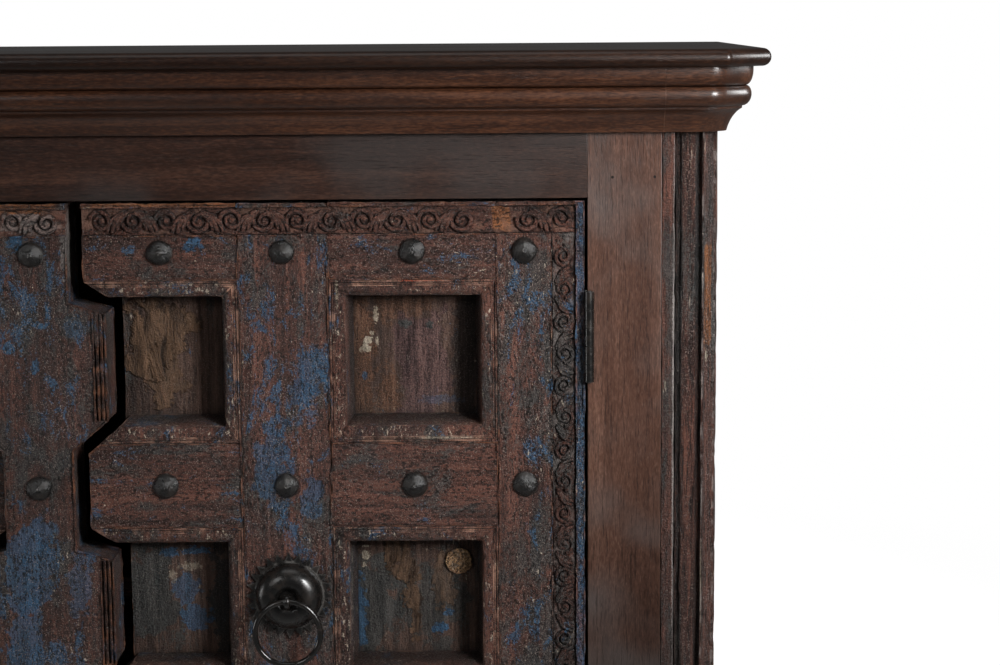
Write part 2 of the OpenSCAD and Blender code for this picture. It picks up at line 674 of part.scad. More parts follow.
top_board();
cornice_front();
cornice_corner(-1);  // cornice_corner_left
cornice_corner(1);  // cornice_corner_right
cornice_side(-1);  // cornice_side_left
cornice_side(1);  // cornice_side_right
top_rail();
bottom_rail();
stile(-1);  // stile_left
stile(1);  // stile_right
corner_strips(-1);  // corner_strips_left
corner_strips(1);  // corner_strips_right
corner_post(-1);  // corner_post_left
corner_post(1);  // corner_post_right
side_frame(-1);  // side_frame_left
side_frame(1);  // side_frame_right
side_panel(-1);  // side_panel_left
side_panel(1);  // side_panel_right
back_rails();
back_boards();
floor_board();
floor_cleats();
shelf();
shelf_cleats();
door_stop();
plinth_front();
plinth_corner(-1);  // plinth_corner_left
plinth_corner(1);  // plinth_corner_right
plinth_side(-1);  // plinth_side_left
plinth_side(1);  // plinth_side_right
hinge_frame_leaves();
hinge_pins();
centre_plank();
hinge_stile(-1);  // hinge_stile_left
hinge_stile(1);  // hinge_stile_right
muntin(-1);  // muntin_left
muntin(1);  // muntin_right
outer_rails(-1);  // outer_rails_left
outer_rails(1);  // outer_rails_right
middle_rails(-1);  // middle_rails_left
middle_rails(1);  // middle_rails_right
backing(-1);  // backing_left
backing(1);  // backing_right
mouldings(-1);  // mouldings_left
mouldings(1);  // mouldings_right
union() { frieze(-1); color(old_wood) placed() plank_frieze(); }  // frieze_left
frieze(1);  // frieze_right
upright_carving(-1);  // upright_carving_left
upright_carving(1);  // upright_carving_right
studs(-1);  // studs_left
studs(1);  // studs_right
hinge_leaves(-1);  // hinge_leaves_left
hinge_leaves(1);  // hinge_leaves_right
rose(-1);  // rose_left
rose(1);  // rose_right
eye(-1);  // eye_left
eye(1);  // eye_right
ring(-1);  // ring_left
ring(1);  // ring_right
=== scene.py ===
import json
import math
import random

import bmesh
import bpy
from mathutils import Matrix, Vector

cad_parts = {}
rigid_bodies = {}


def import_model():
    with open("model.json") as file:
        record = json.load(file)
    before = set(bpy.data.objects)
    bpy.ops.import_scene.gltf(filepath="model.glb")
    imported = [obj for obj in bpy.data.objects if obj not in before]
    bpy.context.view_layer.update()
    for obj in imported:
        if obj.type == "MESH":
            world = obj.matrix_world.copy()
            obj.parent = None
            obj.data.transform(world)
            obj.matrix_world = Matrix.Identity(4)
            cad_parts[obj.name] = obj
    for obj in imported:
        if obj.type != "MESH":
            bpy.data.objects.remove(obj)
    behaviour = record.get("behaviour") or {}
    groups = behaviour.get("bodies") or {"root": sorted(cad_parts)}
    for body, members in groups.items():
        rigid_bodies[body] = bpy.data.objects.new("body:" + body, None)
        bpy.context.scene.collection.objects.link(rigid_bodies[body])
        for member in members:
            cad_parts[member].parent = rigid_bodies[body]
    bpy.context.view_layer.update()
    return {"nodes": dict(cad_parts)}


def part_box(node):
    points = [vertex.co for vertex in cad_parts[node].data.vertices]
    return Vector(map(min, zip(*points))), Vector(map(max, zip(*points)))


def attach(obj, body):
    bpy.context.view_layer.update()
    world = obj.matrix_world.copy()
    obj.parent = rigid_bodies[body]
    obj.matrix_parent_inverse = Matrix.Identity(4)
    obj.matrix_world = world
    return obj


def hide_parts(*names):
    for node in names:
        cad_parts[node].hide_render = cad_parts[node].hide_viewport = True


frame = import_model()
print("frame loaded:", len(frame["nodes"]), "pieces")

sides = {"left": -1, "right": 1}


# Camera: where the photographer stood, worked out from the lines of the cabinet

cameraLook = {
    "place": (0.4224, -2.1295, 1.023),
    "focal": 78.12,
    "pitch": math.radians(8.4),
    "roll": math.radians(0.4),
}


def setCamera(look):
    data = bpy.data.cameras.new("mainCamera")
    data.lens = look["focal"]
    data.sensor_width = 36
    camera = bpy.data.objects.new("mainCamera", data)
    bpy.context.scene.collection.objects.link(camera)
    forward = Vector((0, math.cos(look["pitch"]), -math.sin(look["pitch"])))
    level = Vector((1, 0, 0))
    above = level.cross(forward)
    right = math.cos(look["roll"]) * level - math.sin(look["roll"]) * above
    up = math.sin(look["roll"]) * level + math.cos(look["roll"]) * above
    turn = Matrix((right, up, -forward)).transposed().to_4x4()
    camera.matrix_world = Matrix.Translation(look["place"]) @ turn
    bpy.context.scene.camera = camera


# Materials

def startMaterial(name):
    material = bpy.data.materials.new(name)
    material.use_nodes = True
    material.node_tree.nodes.clear()
    return material, material.node_tree


def put(tree, kind, settings=None, **inputs):
    node = tree.nodes.new(kind)
    for key, value in (settings or {}).items():
        setattr(node, key, value)
    for key, value in inputs.items():
        plug(tree, node.inputs[key], value)
    return node


def plug(tree, socket, value):
    if isinstance(value, bpy.types.NodeSocket):
        tree.links.new(value, socket)
    elif socket.type == "RGBA" and len(value) == 3:
        socket.default_value = (*value, 1)
    else:
        socket.default_value = value


def place(tree, scale=(1, 1, 1), shift=(0, 0, 0)):
    # object coordinates in metres
    here = put(tree, "ShaderNodeTexCoord")
    mapped = put(tree, "ShaderNodeMapping", Vector=here.outputs["Object"], Scale=scale, Location=shift)
    return mapped.outputs["Vector"]


grainScales = {"x": (0.05, 1, 1), "y": (1, 0.05, 1), "z": (1, 1, 0.05)}


def alongGrain(tree, grain, shift, loose=0.0):
    # coordinates drawn out along the grain, the less so the looser they are
    return place(tree, [loose + (1 - loose) * part for part in grainScales[grain]], shift)


def coordinate(tree, axis):
    return put(tree, "ShaderNodeSeparateXYZ", Vector=place(tree)).outputs[axis]


def lengthOf(tree, vector):
    return put(tree, "ShaderNodeVectorMath", {"operation": "LENGTH"}, Vector=vector).outputs["Value"]


def noise(tree, where, scale, detail=3, rough=0.55, distort=0):
    node = put(tree, "ShaderNodeTexNoise", Vector=where, Scale=scale, Detail=detail, Roughness=rough,
               Distortion=distort)
    return node.outputs["Fac"]


def between(tree, value, low, high, outLow=0, outHigh=1):
    node = put(tree, "ShaderNodeMapRange", {"interpolation_type": "SMOOTHSTEP"})
    names = ("Value", "From Min", "From Max", "To Min", "To Max")
    for key, item in zip(names, (value, low, high, outLow, outHigh)):
        plug(tree, node.inputs[key], item)
    return node.outputs["Result"]


def sums(tree, kind, a, b=0):
    node = put(tree, "ShaderNodeMath", {"operation": kind})
    plug(tree, node.inputs[0], a)
    plug(tree, node.inputs[1], b)
    return node.outputs[0]


def blend(tree, *shares):
    # the sum of some values, each times its share
    total = None
    for value, share in shares:
        part = value if share == 1 else sums(tree, "MULTIPLY", value, share)
        total = part if total is None else sums(tree, "ADD", total, part)
    return total


def tinted(colour, tint):
    return tuple(tint * part for part in colour)


def mixColour(tree, amount, a, b, kind="MIX"):
    node = put(tree, "ShaderNodeMix", {"data_type": "RGBA", "blend_type": kind})
    plug(tree, node.inputs[0], amount)
    plug(tree, node.inputs[6], a)
    plug(tree, node.inputs[7], b)
    return node.outputs[2]


def ramp(tree, value, stops):
    node = put(tree, "ShaderNodeValToRGB", Fac=value)
    bar = node.color_ramp
    while len(bar.elements) < len(stops):
        bar.elements.new(0.5)
    for element, (spot, colour) in zip(bar.elements, stops):
        element.position = spot
        element.color = (*colour, 1)
    return node.outputs["Color"]


def hollows(tree, reach, inside=False):
    # 1 in the open, lower in corners; from inside the wood, lower at arrises
    node = put(tree, "ShaderNodeAmbientOcclusion", {"samples": 6, "inside": inside, "only_local": inside},
               Distance=reach)
    return node.outputs["AO"]


def blot(tree, centre, size, ragged=0.5, square=False):
    # a ragged patch on the front; its centre and its half size are along X and Z
    scale = (1 / size[0], 0, 1 / size[1])
    near = place(tree, scale, (-centre[0] * scale[0], 0, -centre[1] * scale[2]))
    if square:
        parts = put(tree, "ShaderNodeSeparateXYZ", Vector=near)
        away = sums(tree, "MAXIMUM", *(sums(tree, "ABSOLUTE", parts.outputs[axis]) for axis in "XZ"))
    else:
        away = lengthOf(tree, near)
    rags = noise(tree, place(tree), 0.9 / min(size), 5, 0.65)
    reach = sums(tree, "ADD", away, between(tree, rags, 0.3, 0.7, -ragged, ragged))
    return between(tree, reach, 0.86, 1.0, 1, 0)


def finishMaterial(tree, colour, rough, height, bump, depth, **shaderValues):
    relief = put(tree, "ShaderNodeBump", Height=height, Strength=bump, Distance=depth)
    shader = put(tree, "ShaderNodeBsdfPrincipled", Roughness=rough, Normal=relief.outputs["Normal"])
    plug(tree, shader.inputs["Base Color"], colour)
    for key, value in shaderValues.items():
        shader.inputs[key.replace("_", " ")].default_value = value
    put(tree, "ShaderNodeOutputMaterial", Surface=shader.outputs[0])


# Stained and waxed new wood: open pores along the grain, paler streaks, dirt in the corners

waxedWood = {
    "dark": (0.010, 0.0038, 0.0022),
    "middle": (0.034, 0.0128, 0.0072),
    "pale": (0.082, 0.034, 0.019),
    # grey of the haze: wax bloom and painted sheen
    "grey": (0.046, 0.040, 0.038),
    "pore": (0.0045, 0.0022, 0.0016),
    "fleck": (0.16, 0.11, 0.085),
    "worn": (0.13, 0.060, 0.034),
}
waxedSizes = {  # how fine each pattern is, per metre, and how far wear and painted shade reach, in metres
    "streaks": 75,
    "figure": 11,
    "fine": 700,
    "cloud": 6,
    "pores": 900,
    "flecks": 820,
    "rubbed": 45,
    "arris": 0.0014,
    "corner": 0.012,
    "nail": 0.0014,
}


def makeWaxedWood(name, grain, look=waxedWood, tint=1.0, shift=(0, 0, 0), wear=0.4, sheen=0.05, bloomAndSheen=0.2,
                  nails=(), figure=1.0, flecks=0.15, gloss=0.38, foot=None, sizes=waxedSizes):
    material, tree = startMaterial(name)
    along = alongGrain(tree, grain, shift)
    short = alongGrain(tree, grain, shift, 0.2)
    flat = place(tree, shift=shift)
    streaks = noise(tree, along, sizes["streaks"], 5, 0.68, 0.5)
    wide = noise(tree, along, sizes["figure"], 3, 0.5, 1.4)
    fine = noise(tree, short, sizes["fine"], 2, 0.6)
    body = blend(tree, (streaks, 0.3), (wide, 0.4), (fine, 0.3))
    spread = 0.12 / figure
    shades = zip((0.5 - spread, 0.5, 0.5 + spread), ("dark", "middle", "pale"))
    colour = ramp(tree, body, [(spot, tinted(look[key], tint)) for spot, key in shades])
    # painted sheen: a grey haze in clouds, the wax's bloom together with the sheen of its reflection
    cloud = between(tree, noise(tree, flat, sizes["cloud"], 3), 0.42, 0.66, 0, bloomAndSheen)
    colour = mixColour(tree, cloud, colour, tinted(look["grey"], tint))
    poreMask = between(tree, noise(tree, along, sizes["pores"], 2, 0.6), 0.56, 0.64, 0, 0.45)
    colour = mixColour(tree, poreMask, colour, look["pore"])
    # pale flecks: painted glints of the rough finish
    fleckMask = between(tree, noise(tree, short, sizes["flecks"], 1, 0.6), 0.60, 0.70, 0, flecks)
    colour = mixColour(tree, fleckMask, colour, tinted(look["fleck"], tint))
    edge = between(tree, hollows(tree, sizes["arris"], inside=True), 0.35, 0.85, 1, 0)
    rub = between(tree, noise(tree, flat, sizes["rubbed"], 4), 0.45, 0.65, 0, wear)
    colour = mixColour(tree, sums(tree, "MULTIPLY", edge, rub), colour, look["worn"])
    for spot in nails:
        colour = mixColour(tree, blot(tree, spot, (sizes["nail"], sizes["nail"]), 0.1), colour, look["pore"])
    # painted shade: the wood is darkened in corners and hollows, by how shut in they are
    cornerShadeAndGrime = between(tree, hollows(tree, sizes["corner"]), 0.3, 0.85, 0.35, 1)
    if foot:
        # darker towards the floor: foot gives two heights and how much of the colour is left below
        cornerShadeAndGrime = sums(tree, "MULTIPLY", cornerShadeAndGrime, between(tree, coordinate(tree, "Z"), *foot, 1))
    grey = put(tree, "ShaderNodeCombineColor", Red=cornerShadeAndGrime, Green=cornerShadeAndGrime, Blue=cornerShadeAndGrime)
    colour = mixColour(tree, 1, colour, grey.outputs[0], "MULTIPLY")
    rough = between(tree, body, 0.35, 0.65, gloss, gloss + 0.12)
    height = blend(tree, (fine, 0.7), (poreMask, -0.6))
    finishMaterial(tree, colour, rough, height, 0.5, 0.0005, Specular_IOR_Level=0.18, Coat_Weight=sheen,
                   Coat_Roughness=0.22)
    return material


# Old wood with what is left of its paint: grey-green film, blue patches, cream flecks, plaster, bare wood

oldWood = {
    "dark": (0.013, 0.0062, 0.005),
    "middle": (0.048, 0.0205, 0.015),
    "pale": (0.125, 0.050, 0.034),
    "filmDark": (0.012, 0.0145, 0.0145),
    "filmPale": (0.060, 0.066, 0.064),
    "blueDark": (0.010, 0.031, 0.062),
    "bluePale": (0.040, 0.118, 0.215),
    "creamDark": (0.15, 0.12, 0.085),
    "creamPale": (0.46, 0.40, 0.31),
    "plasterDark": (0.022, 0.012, 0.0065),
    "plasterPale": (0.150, 0.090, 0.052),
    "bareDark": (0.060, 0.020, 0.007),
    "barePale": (0.25, 0.095, 0.034),
    # black of the marks of painted shade
    "blackDark": (0.005, 0.005, 0.005),
    "blackPale": (0.030, 0.032, 0.033),
    "tanDark": (0.032, 0.014, 0.006),
    "tanPale": (0.150, 0.070, 0.038),
    "plumDark": (0.022, 0.011, 0.012),
    "plumPale": (0.130, 0.072, 0.066),
    "redDark": (0.10, 0.018, 0.008),
    "redPale": (0.40, 0.075, 0.030),
    "ashDark": (0.10, 0.088, 0.082),
    "ashPale": (0.34, 0.31, 0.29),
    "cream": (0.42, 0.36, 0.28),
    "dust": (0.26, 0.21, 0.185),
    "worn": (0.22, 0.085, 0.04),
    # dark of the pits, of grime and of the painted shade in hollows
    "grime": (0.005, 0.0038, 0.0034),
}
oldSizes = {  # how fine each pattern is, per metre
    "streaks": 150,
    "figure": 14,
    "grit": 520,
    "zones": 11,
    "film": 30,
    "blue": 58,
    "strip": 90,
    "cream": 280,
    "clay": 60,
    "pits": 430,
    "dust": 850,
    "rubbed": 60,
}


def layMarks(tree, marks, colour, lumps, mixed, clay, look):
    # the remains of paint and plaster that have a place of their own, and the black marks of painted shade;
    # plaster also stands out
    for kind, spot, size, strength in marks:
        bare = kind == "bare"
        patch = sums(tree, "MULTIPLY", blot(tree, spot, size, 0.12 if bare else 0.5, bare), strength)
        if kind == "plaster":
            shades = ramp(tree, clay, [(0.36, look["plasterDark"]), (0.48, tinted(look["plasterPale"], 0.5)),
                                       (0.66, look["plasterPale"])])
            lumps = sums(tree, "ADD", lumps, sums(tree, "MULTIPLY", patch, sums(tree, "MULTIPLY", clay, 4)))
        else:
            shades = ramp(tree, mixed, [(0.42, look[kind + "Dark"]), (0.6, look[kind + "Pale"])])
        colour = mixColour(tree, patch, colour, shades)
    return colour, lumps


def makeOldWood(name, grain, film=0.4, blue=0.3, cream=0.3, wear=0.5, tint=1.0, shift=(0, 0, 0), pits=0.8,
                reach=0.002, cornerShadeAndGrime=0.85, stripes=0.4, marks=(), edgeStrip=0, drawn=0.45, dust=0.6,
                gritty=0.3, cavity=0.014, sunk=None, look=oldWood, sizes=oldSizes):
    material, tree = startMaterial(name)
    along = alongGrain(tree, grain, shift)
    loose = alongGrain(tree, grain, shift, drawn)
    flat = place(tree, shift=shift)
    streaks = noise(tree, along, sizes["streaks"], 5, 0.75, 0.4)
    wide = noise(tree, along, sizes["figure"], 3, 0.5, 1.0)
    grit = noise(tree, flat, sizes["grit"], 3, 0.75)
    zones = noise(tree, flat, sizes["zones"], 3, 0.6)
    body = blend(tree, (streaks, stripes), (wide, 1 - gritty - stripes), (grit, gritty))
    shades = zip((0.41, 0.5, 0.59), ("dark", "middle", "pale"))
    colour = ramp(tree, body, [(spot, tinted(look[key], tint)) for spot, key in shades])
    # what is left of a grey-green film, then of the blue over it
    patches = blend(tree, (noise(tree, loose, sizes["film"], 6, 0.72, 0.5), 1), (grit, 0.4))
    filmMask = between(tree, patches, 0.80 - 0.22 * film, 0.88 - 0.22 * film, 0, 0.75)
    filmShade = ramp(tree, grit, [(0.40, look["filmDark"]), (0.62, look["filmPale"])])
    colour = mixColour(tree, filmMask, colour, filmShade)
    spots = blend(tree, (noise(tree, loose, sizes["blue"], 6, 0.75, 0.6), 1), (grit, 0.3), (zones, 0.5))
    blueMask = between(tree, spots, 1.08 - 0.2 * blue, 1.12 - 0.2 * blue, 0, 0.8)
    blueShade = ramp(tree, grit, [(0.40, look["blueDark"]), (0.66, look["bluePale"])])
    colour = mixColour(tree, blueMask, colour, blueShade)
    if edgeStrip:
        # a painted strip along the board's outer edge
        outer = between(tree, sums(tree, "ABSOLUTE", coordinate(tree, "X")), edgeStrip, edgeStrip + 0.0008)
        broken = between(tree, noise(tree, loose, sizes["strip"], 5, 0.75), 0.44, 0.54, 0.25, 0.7)
        colour = mixColour(tree, sums(tree, "MULTIPLY", outer, broken), colour, blueShade)
    flecks = blend(tree, (noise(tree, loose, sizes["cream"], 3, 0.7), 1), (zones, 0.3))
    creamMask = between(tree, flecks, 0.86 - 0.1 * cream, 0.90 - 0.1 * cream, 0, 0.85)
    colour = mixColour(tree, creamMask, colour, look["cream"])
    mixed = blend(tree, (streaks, 0.5), (grit, 0.5))
    clay = noise(tree, loose, sizes["clay"], 6, 0.7, 1.5)
    lumps = sums(tree, "MULTIPLY", blueMask, 0.25)
    colour, lumps = layMarks(tree, marks, colour, lumps, mixed, clay, look)
    pitMask = between(tree, noise(tree, loose, sizes["pits"], 2, 0.7), 0.54, 0.61, 0, pits)
    colour = mixColour(tree, pitMask, colour, look["grime"])
    # pale specks: dust, and painted glints of the rough surface
    grains = blend(tree, (noise(tree, flat, sizes["dust"], 1, 0.8), 1), (zones, 0.2))
    colour = mixColour(tree, between(tree, grains, 0.70, 0.78, 0, dust), colour, look["dust"])
    edge = between(tree, hollows(tree, reach, inside=True), 0.35, 0.8, 1, 0)
    rub = between(tree, noise(tree, flat, sizes["rubbed"], 4, 0.6), 0.46, 0.62, 0, wear)
    colour = mixColour(tree, sums(tree, "MULTIPLY", edge, rub), colour, look["worn"])
    # painted shade: hollows darkened by how shut in they are, with some grime
    corner = between(tree, hollows(tree, cavity), 0.25, 0.9, cornerShadeAndGrime, 0)
    colour = mixColour(tree, corner, colour, look["grime"])
    if sunk:
        # painted shade, heavier towards the back of a recess: sunk gives two depths and how much shade there
        # is
        low, high, grime = sunk
        depthShade = between(tree, coordinate(tree, "Y"), low, high, 0, grime)
        colour = mixColour(tree, depthShade, colour, look["grime"])
    rough = between(tree, grit, 0.35, 0.65, 0.28, 0.6)
    height = blend(tree, (streaks, 0.9), (filmMask, 0.2), (lumps, 1), (grit, 1.5), (pitMask, -0.6))
    finishMaterial(tree, colour, rough, height, 1.0, 0.0022, Specular_IOR_Level=0.3)
    return material


# Blackened iron, rubbed bright on its arrises

blackIron = {
    "black": (0.0040, 0.0038, 0.0036),
    "brown": (0.014, 0.0095, 0.007),
    "bright": (0.16, 0.15, 0.14),
}
ironSizes = {  # how fine each pattern is, per metre, and how far in from an arris the iron is rubbed
    "dust": 120,
    "rubbed": 90,
    "skin": 260,
    "arris": 0.0016,
}


def makeIron(name, rough=0.34, hammer=0.5, rubbed=0.6, depth=0.0004, look=blackIron, sizes=ironSizes):
    material, tree = startMaterial(name)
    flat = place(tree)
    dust = noise(tree, flat, sizes["dust"], 4, 0.6)
    colour = mixColour(tree, between(tree, dust, 0.4, 0.75, 0, 0.8), look["black"], look["brown"])
    edge = between(tree, hollows(tree, sizes["arris"], inside=True), 0.3, 0.8, 1, 0)
    rub = between(tree, noise(tree, flat, sizes["rubbed"], 3), 0.4, 0.62, 0, rubbed)
    colour = mixColour(tree, sums(tree, "MULTIPLY", edge, rub), colour, look["bright"])
    skin = noise(tree, flat, sizes["skin"], 5, 0.75)
    finishMaterial(tree, colour, between(tree, dust, 0.3, 0.7, rough, rough + 0.14), skin, hammer, depth,
                   Specular_IOR_Level=0.5)
    return material


# Shaping helpers: everything is deselected first, because the frame's nodes come in selected

def dropAll():
    for item in list(bpy.context.selected_objects):
        item.select_set(False)


def takeUp(piece):
    dropAll()
    piece.select_set(True)
    bpy.context.view_layer.objects.active = piece


def settle():
    bpy.ops.object.transform_apply(location=True, rotation=True, scale=True)


def edit(kind="VERT"):
    bpy.ops.object.mode_set(mode="EDIT")
    bpy.ops.mesh.select_mode(type=kind)


def done():
    bpy.ops.object.mode_set(mode="OBJECT")


def pickAll():
    bpy.ops.mesh.select_all(action="SELECT")


def pick(test):
    # selects the vertices whose place passes the test
    mesh = bmesh.from_edit_mesh(bpy.context.object.data)
    bpy.ops.mesh.select_all(action="DESELECT")
    for vertex in mesh.verts:
        vertex.select_set(test(vertex.co))
    mesh.select_flush(True)


def faceOutward():
    pickAll()
    bpy.ops.mesh.normals_make_consistent(inside=False)


def copyNode(node):
    # a clean copy of a frame node: its triangles merged and its flat faces whole again
    first, *others = node.split("_")
    name = first + "".join(word.capitalize() for word in others)
    piece = bpy.data.objects.new(name, frame["nodes"][node].data.copy())
    piece.data.materials.clear()
    bpy.context.scene.collection.objects.link(piece)
    takeUp(piece)
    if piece.data.has_custom_normals:
        bpy.ops.mesh.customdata_custom_splitnormals_clear()
    edit()
    pickAll()
    bpy.ops.mesh.remove_doubles(threshold=0.00001)
    bpy.ops.mesh.dissolve_limited(angle_limit=0.01)
    done()
    return piece


def cutAcross(piece, axis, step):
    # parallel cuts right through the piece, so that it can be worn unevenly
    spots = [vertex.co[axis] for vertex in piece.data.vertices]
    low, high = min(spots), max(spots)
    count = max(1, round((high - low) / step))
    normal = [float(axis == k) for k in range(3)]
    edit()
    for i in range(1, count):
        pickAll()
        cut = low + (high - low) * i / count
        bpy.ops.mesh.bisect(plane_co=[cut * part for part in normal], plane_no=normal)
    done()


def markArrises(piece, sharp=0.6, nearby=0.35):
    # a weight group of the sharp edges and, more lightly, what lies next to them
    takeUp(piece)
    edit("EDGE")
    bpy.ops.mesh.select_all(action="DESELECT")
    bpy.ops.mesh.edges_select_sharp(sharpness=sharp)
    mesh = bmesh.from_edit_mesh(piece.data)
    core = [vertex.index for vertex in mesh.verts if vertex.select]
    bpy.ops.mesh.select_more()
    mesh = bmesh.from_edit_mesh(piece.data)
    near = [vertex.index for vertex in mesh.verts if vertex.select]
    done()
    group = piece.vertex_groups.new(name="arris")
    group.add(near, nearby, "REPLACE")
    group.add(core, 1.0, "REPLACE")


def applyAll(piece):
    takeUp(piece)
    for modifier in list(piece.modifiers):
        bpy.ops.object.modifier_apply(modifier=modifier.name)


def soften(piece, width, parts=2, sharp=0.5):
    bevel = piece.modifiers.new("soften", "BEVEL")
    bevel.width = width
    bevel.segments = parts
    bevel.limit_method = "ANGLE"
    bevel.angle_limit = sharp


grainGuides = {}


def grainGuide(grain, stretch=9):
    # an empty that draws a displacement pattern out along the grain
    if grain not in grainGuides:
        guide = bpy.data.objects.new("guide" + grain, None)
        bpy.context.scene.collection.objects.link(guide)
        guide.scale = [stretch if axis == grain else 1 for axis in "xyz"]
        bpy.context.view_layer.update()
        grainGuides[grain] = guide
    return grainGuides[grain]


def carveTexture(name, size, contrast=1.0, light=1.0, depth=2):
    texture = bpy.data.textures.new(name, "CLOUDS")
    texture.noise_scale = size
    texture.noise_depth = depth
    texture.use_clamp = True
    texture.contrast = contrast
    texture.intensity = light
    return texture


textures = {
    "sag": carveTexture("sag", 0.05),
    "ripple": carveTexture("ripple", 0.006, depth=3),
    "pits": carveTexture("pits", 0.008, contrast=3.2, light=0.55),
    "chips": carveTexture("chips", 0.021, contrast=3.0, light=0.5, depth=4),
    "splinters": carveTexture("splinters", 0.004, contrast=2.2, light=0.75),
}
restLevels = {"sag": 1.0, "ripple": 1.0, "pits": 0.0, "chips": 0.0, "splinters": 1.7}


def press(piece, pattern, depth, group=None, grain=None):
    # moves the skin inwards by a pattern, and leaves it where the pattern is at its rest level
    push = piece.modifiers.new(pattern, "DISPLACE")
    push.texture = textures[pattern]
    push.mid_level = restLevels[pattern]
    push.strength = depth if restLevels[pattern] else -depth
    push.texture_coords = "LOCAL"
    if group:
        push.vertex_group = group
    if grain:
        push.texture_coords = "OBJECT"
        push.texture_coords_object = grainGuide(grain)


def smooth(piece, angle=0.7):
    takeUp(piece)
    bpy.ops.object.shade_smooth_by_angle(angle=angle)


def dress(piece, body, material, slotName, *nodes):
    piece.data.materials.clear()
    piece.data.materials.append(material)
    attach(piece, body)
    if nodes:
        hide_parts(*nodes)


def joinAll(parts, name):
    dropAll()
    for part in parts:
        part.select_set(True)
    bpy.context.view_layer.objects.active = parts[0]
    bpy.ops.object.join()
    settle()
    parts[0].name = name
    parts[0].data.name = name
    edit()
    faceOutward()
    done()
    return parts[0]


cell = {"board": 0.0035, "panel": 0.006, "mould": 0.006, "post": 0.006}

boardWear = {
    "soft": 0.0007,
    "sag": 0.0012,
    "ripple": 0.0006,
    "pits": 0.0007,
    "chips": 0.0018,
}


def wornBoard(node, grain, body, material, slotName, kind="board", wear=1.0, look=boardWear):
    # a board of the frame, cut up finely and worn: soft broken arrises, sunk grain, pits
    piece = copyNode(node)
    cutAcross(piece, 0, cell[kind])
    cutAcross(piece, 2, cell[kind])
    markArrises(piece)
    soften(piece, look["soft"] * wear)
    press(piece, "sag", look["sag"] * wear)
    press(piece, "ripple", look["ripple"] * wear, grain=grain)
    press(piece, "pits", look["pits"] * wear)
    press(piece, "chips", look["chips"] * wear, "arris")
    applyAll(piece)
    smooth(piece)
    dress(piece, body, material, slotName, node)


mitreLook = {
    "reach": 0.009,
    "parts": 5,
    "turn": math.pi / 8,      # how far the mitre's plane is turned from the front or the side
    "slip": 0.01,
    "edge": (0.6, 0.95),      # the turn from one run to the next, with room for the bends
    "outward": 0.8,
}


def roundMitres(piece, look=mitreLook):
    # makes the runs of a corner moulding one shell and rounds over its upright mitres
    takeUp(piece)
    edit("FACE")
    bpy.ops.mesh.select_all(action="DESELECT")
    mesh = bmesh.from_edit_mesh(piece.data)
    plane = (math.sin(look["turn"]), math.cos(look["turn"]))
    for face in mesh.faces:
        across = sorted(abs(part) for part in face.normal.xy)
        face.select_set(all(abs(a - b) < look["slip"] for a, b in zip(across, plane)))
    bmesh.update_edit_mesh(piece.data)
    bpy.ops.mesh.delete(type="FACE")
    bpy.ops.mesh.select_mode(type="EDGE")
    bpy.ops.mesh.select_all(action="DESELECT")
    mesh = bmesh.from_edit_mesh(piece.data)
    least, most = look["edge"]
    for side in mesh.edges:
        turns = [face.normal.xy for face in side.link_faces]
        if len(turns) == 2 and min(turn.length for turn in turns) > look["slip"]:
            outward = Vector((math.copysign(1, (side.verts[0].co + side.verts[1].co).x), -1))
            side.select_set(least < turns[0].angle(turns[1]) < most
                            and all(turn.normalized() @ outward > look["outward"] for turn in turns))
    bmesh.update_edit_mesh(piece.data)
    bpy.ops.mesh.bevel(offset=look["reach"], segments=look["parts"], clamp_overlap=True)
    done()


def softBoard(node, body, material, slotName, width, mitres=False):
    # a new board with its arrises eased; the smoothing stays below the step of the eased arris
    piece = copyNode(node)
    if mitres:
        roundMitres(piece)
    soften(piece, width)
    applyAll(piece)
    smooth(piece, 0.36)
    dress(piece, body, material, slotName, node)


print("helpers ready")


# Woods and irons of this piece

greyWorn = {**oldWood, "worn": (0.30, 0.26, 0.24)}
brownWorn = {**oldWood, "worn": (0.17, 0.092, 0.065)}
mouldWood = {**oldWood, "worn": (0.36, 0.20, 0.14)}
recessWood = {**oldWood, "dark": (0.018, 0.0105, 0.0080), "middle": (0.050, 0.0290, 0.0215),
              "pale": (0.105, 0.062, 0.047), "plasterPale": (0.175, 0.100, 0.058)}
corkWood = {**oldWood, "dark": (0.035, 0.022, 0.012), "middle": (0.16, 0.090, 0.042),
            "pale": (0.34, 0.23, 0.13)}
corniceWood = {**waxedWood, "dark": (0.006, 0.002, 0.001), "middle": (0.027, 0.0085, 0.0032),
               "pale": (0.085, 0.031, 0.013), "grey": (0.030, 0.019, 0.015)}
stileWood = {**waxedWood, "middle": (0.034, 0.0152, 0.0096), "pale": (0.078, 0.040, 0.027)}

woods = {
    "railX": makeWaxedWood("waxedAcross", "x", tint=0.60, shift=(3, 0, 0), bloomAndSheen=0.6, flecks=0.08),
    "stileZ": makeWaxedWood("waxedUpright", "z", look=stileWood, tint=1.85, shift=(0, 7, 0), bloomAndSheen=0.9,
                            figure=0.7, flecks=0.06, nails=[(0.5245, 0.8755), (0.5625, 0.8755)],
                            foot=(0.40, 0.70, 0.5)),
    "topX": makeWaxedWood("waxedTop", "x", look=corniceWood, tint=0.30, shift=(9, 0, 4), sheen=0.25,
                          gloss=0.3, flecks=0.05),
    "corniceX": makeWaxedWood("waxedCornice", "x", look=corniceWood, tint=0.85, wear=0.9, sheen=0.45,
                              gloss=0.34, flecks=0.05),
    "corniceY": makeWaxedWood("waxedCorniceSide", "y", look=corniceWood, tint=0.9, wear=0.9, sheen=0.25,
                              gloss=0.34, shift=(2, 0, 0), flecks=0.05),
    "sideZ": makeWaxedWood("waxedSide", "z", tint=1.1, shift=(5, 1, 0)),
    "panelZ": makeWaxedWood("waxedPanel", "z", tint=1.25, shift=(8, 2, 1)),
    "insideX": makeWaxedWood("plainInside", "x", tint=1.9, shift=(4, 2, 8), wear=0.2),
    "insideZ": makeWaxedWood("plainBack", "z", tint=1.8, shift=(1, 2, 8), wear=0.2),
}
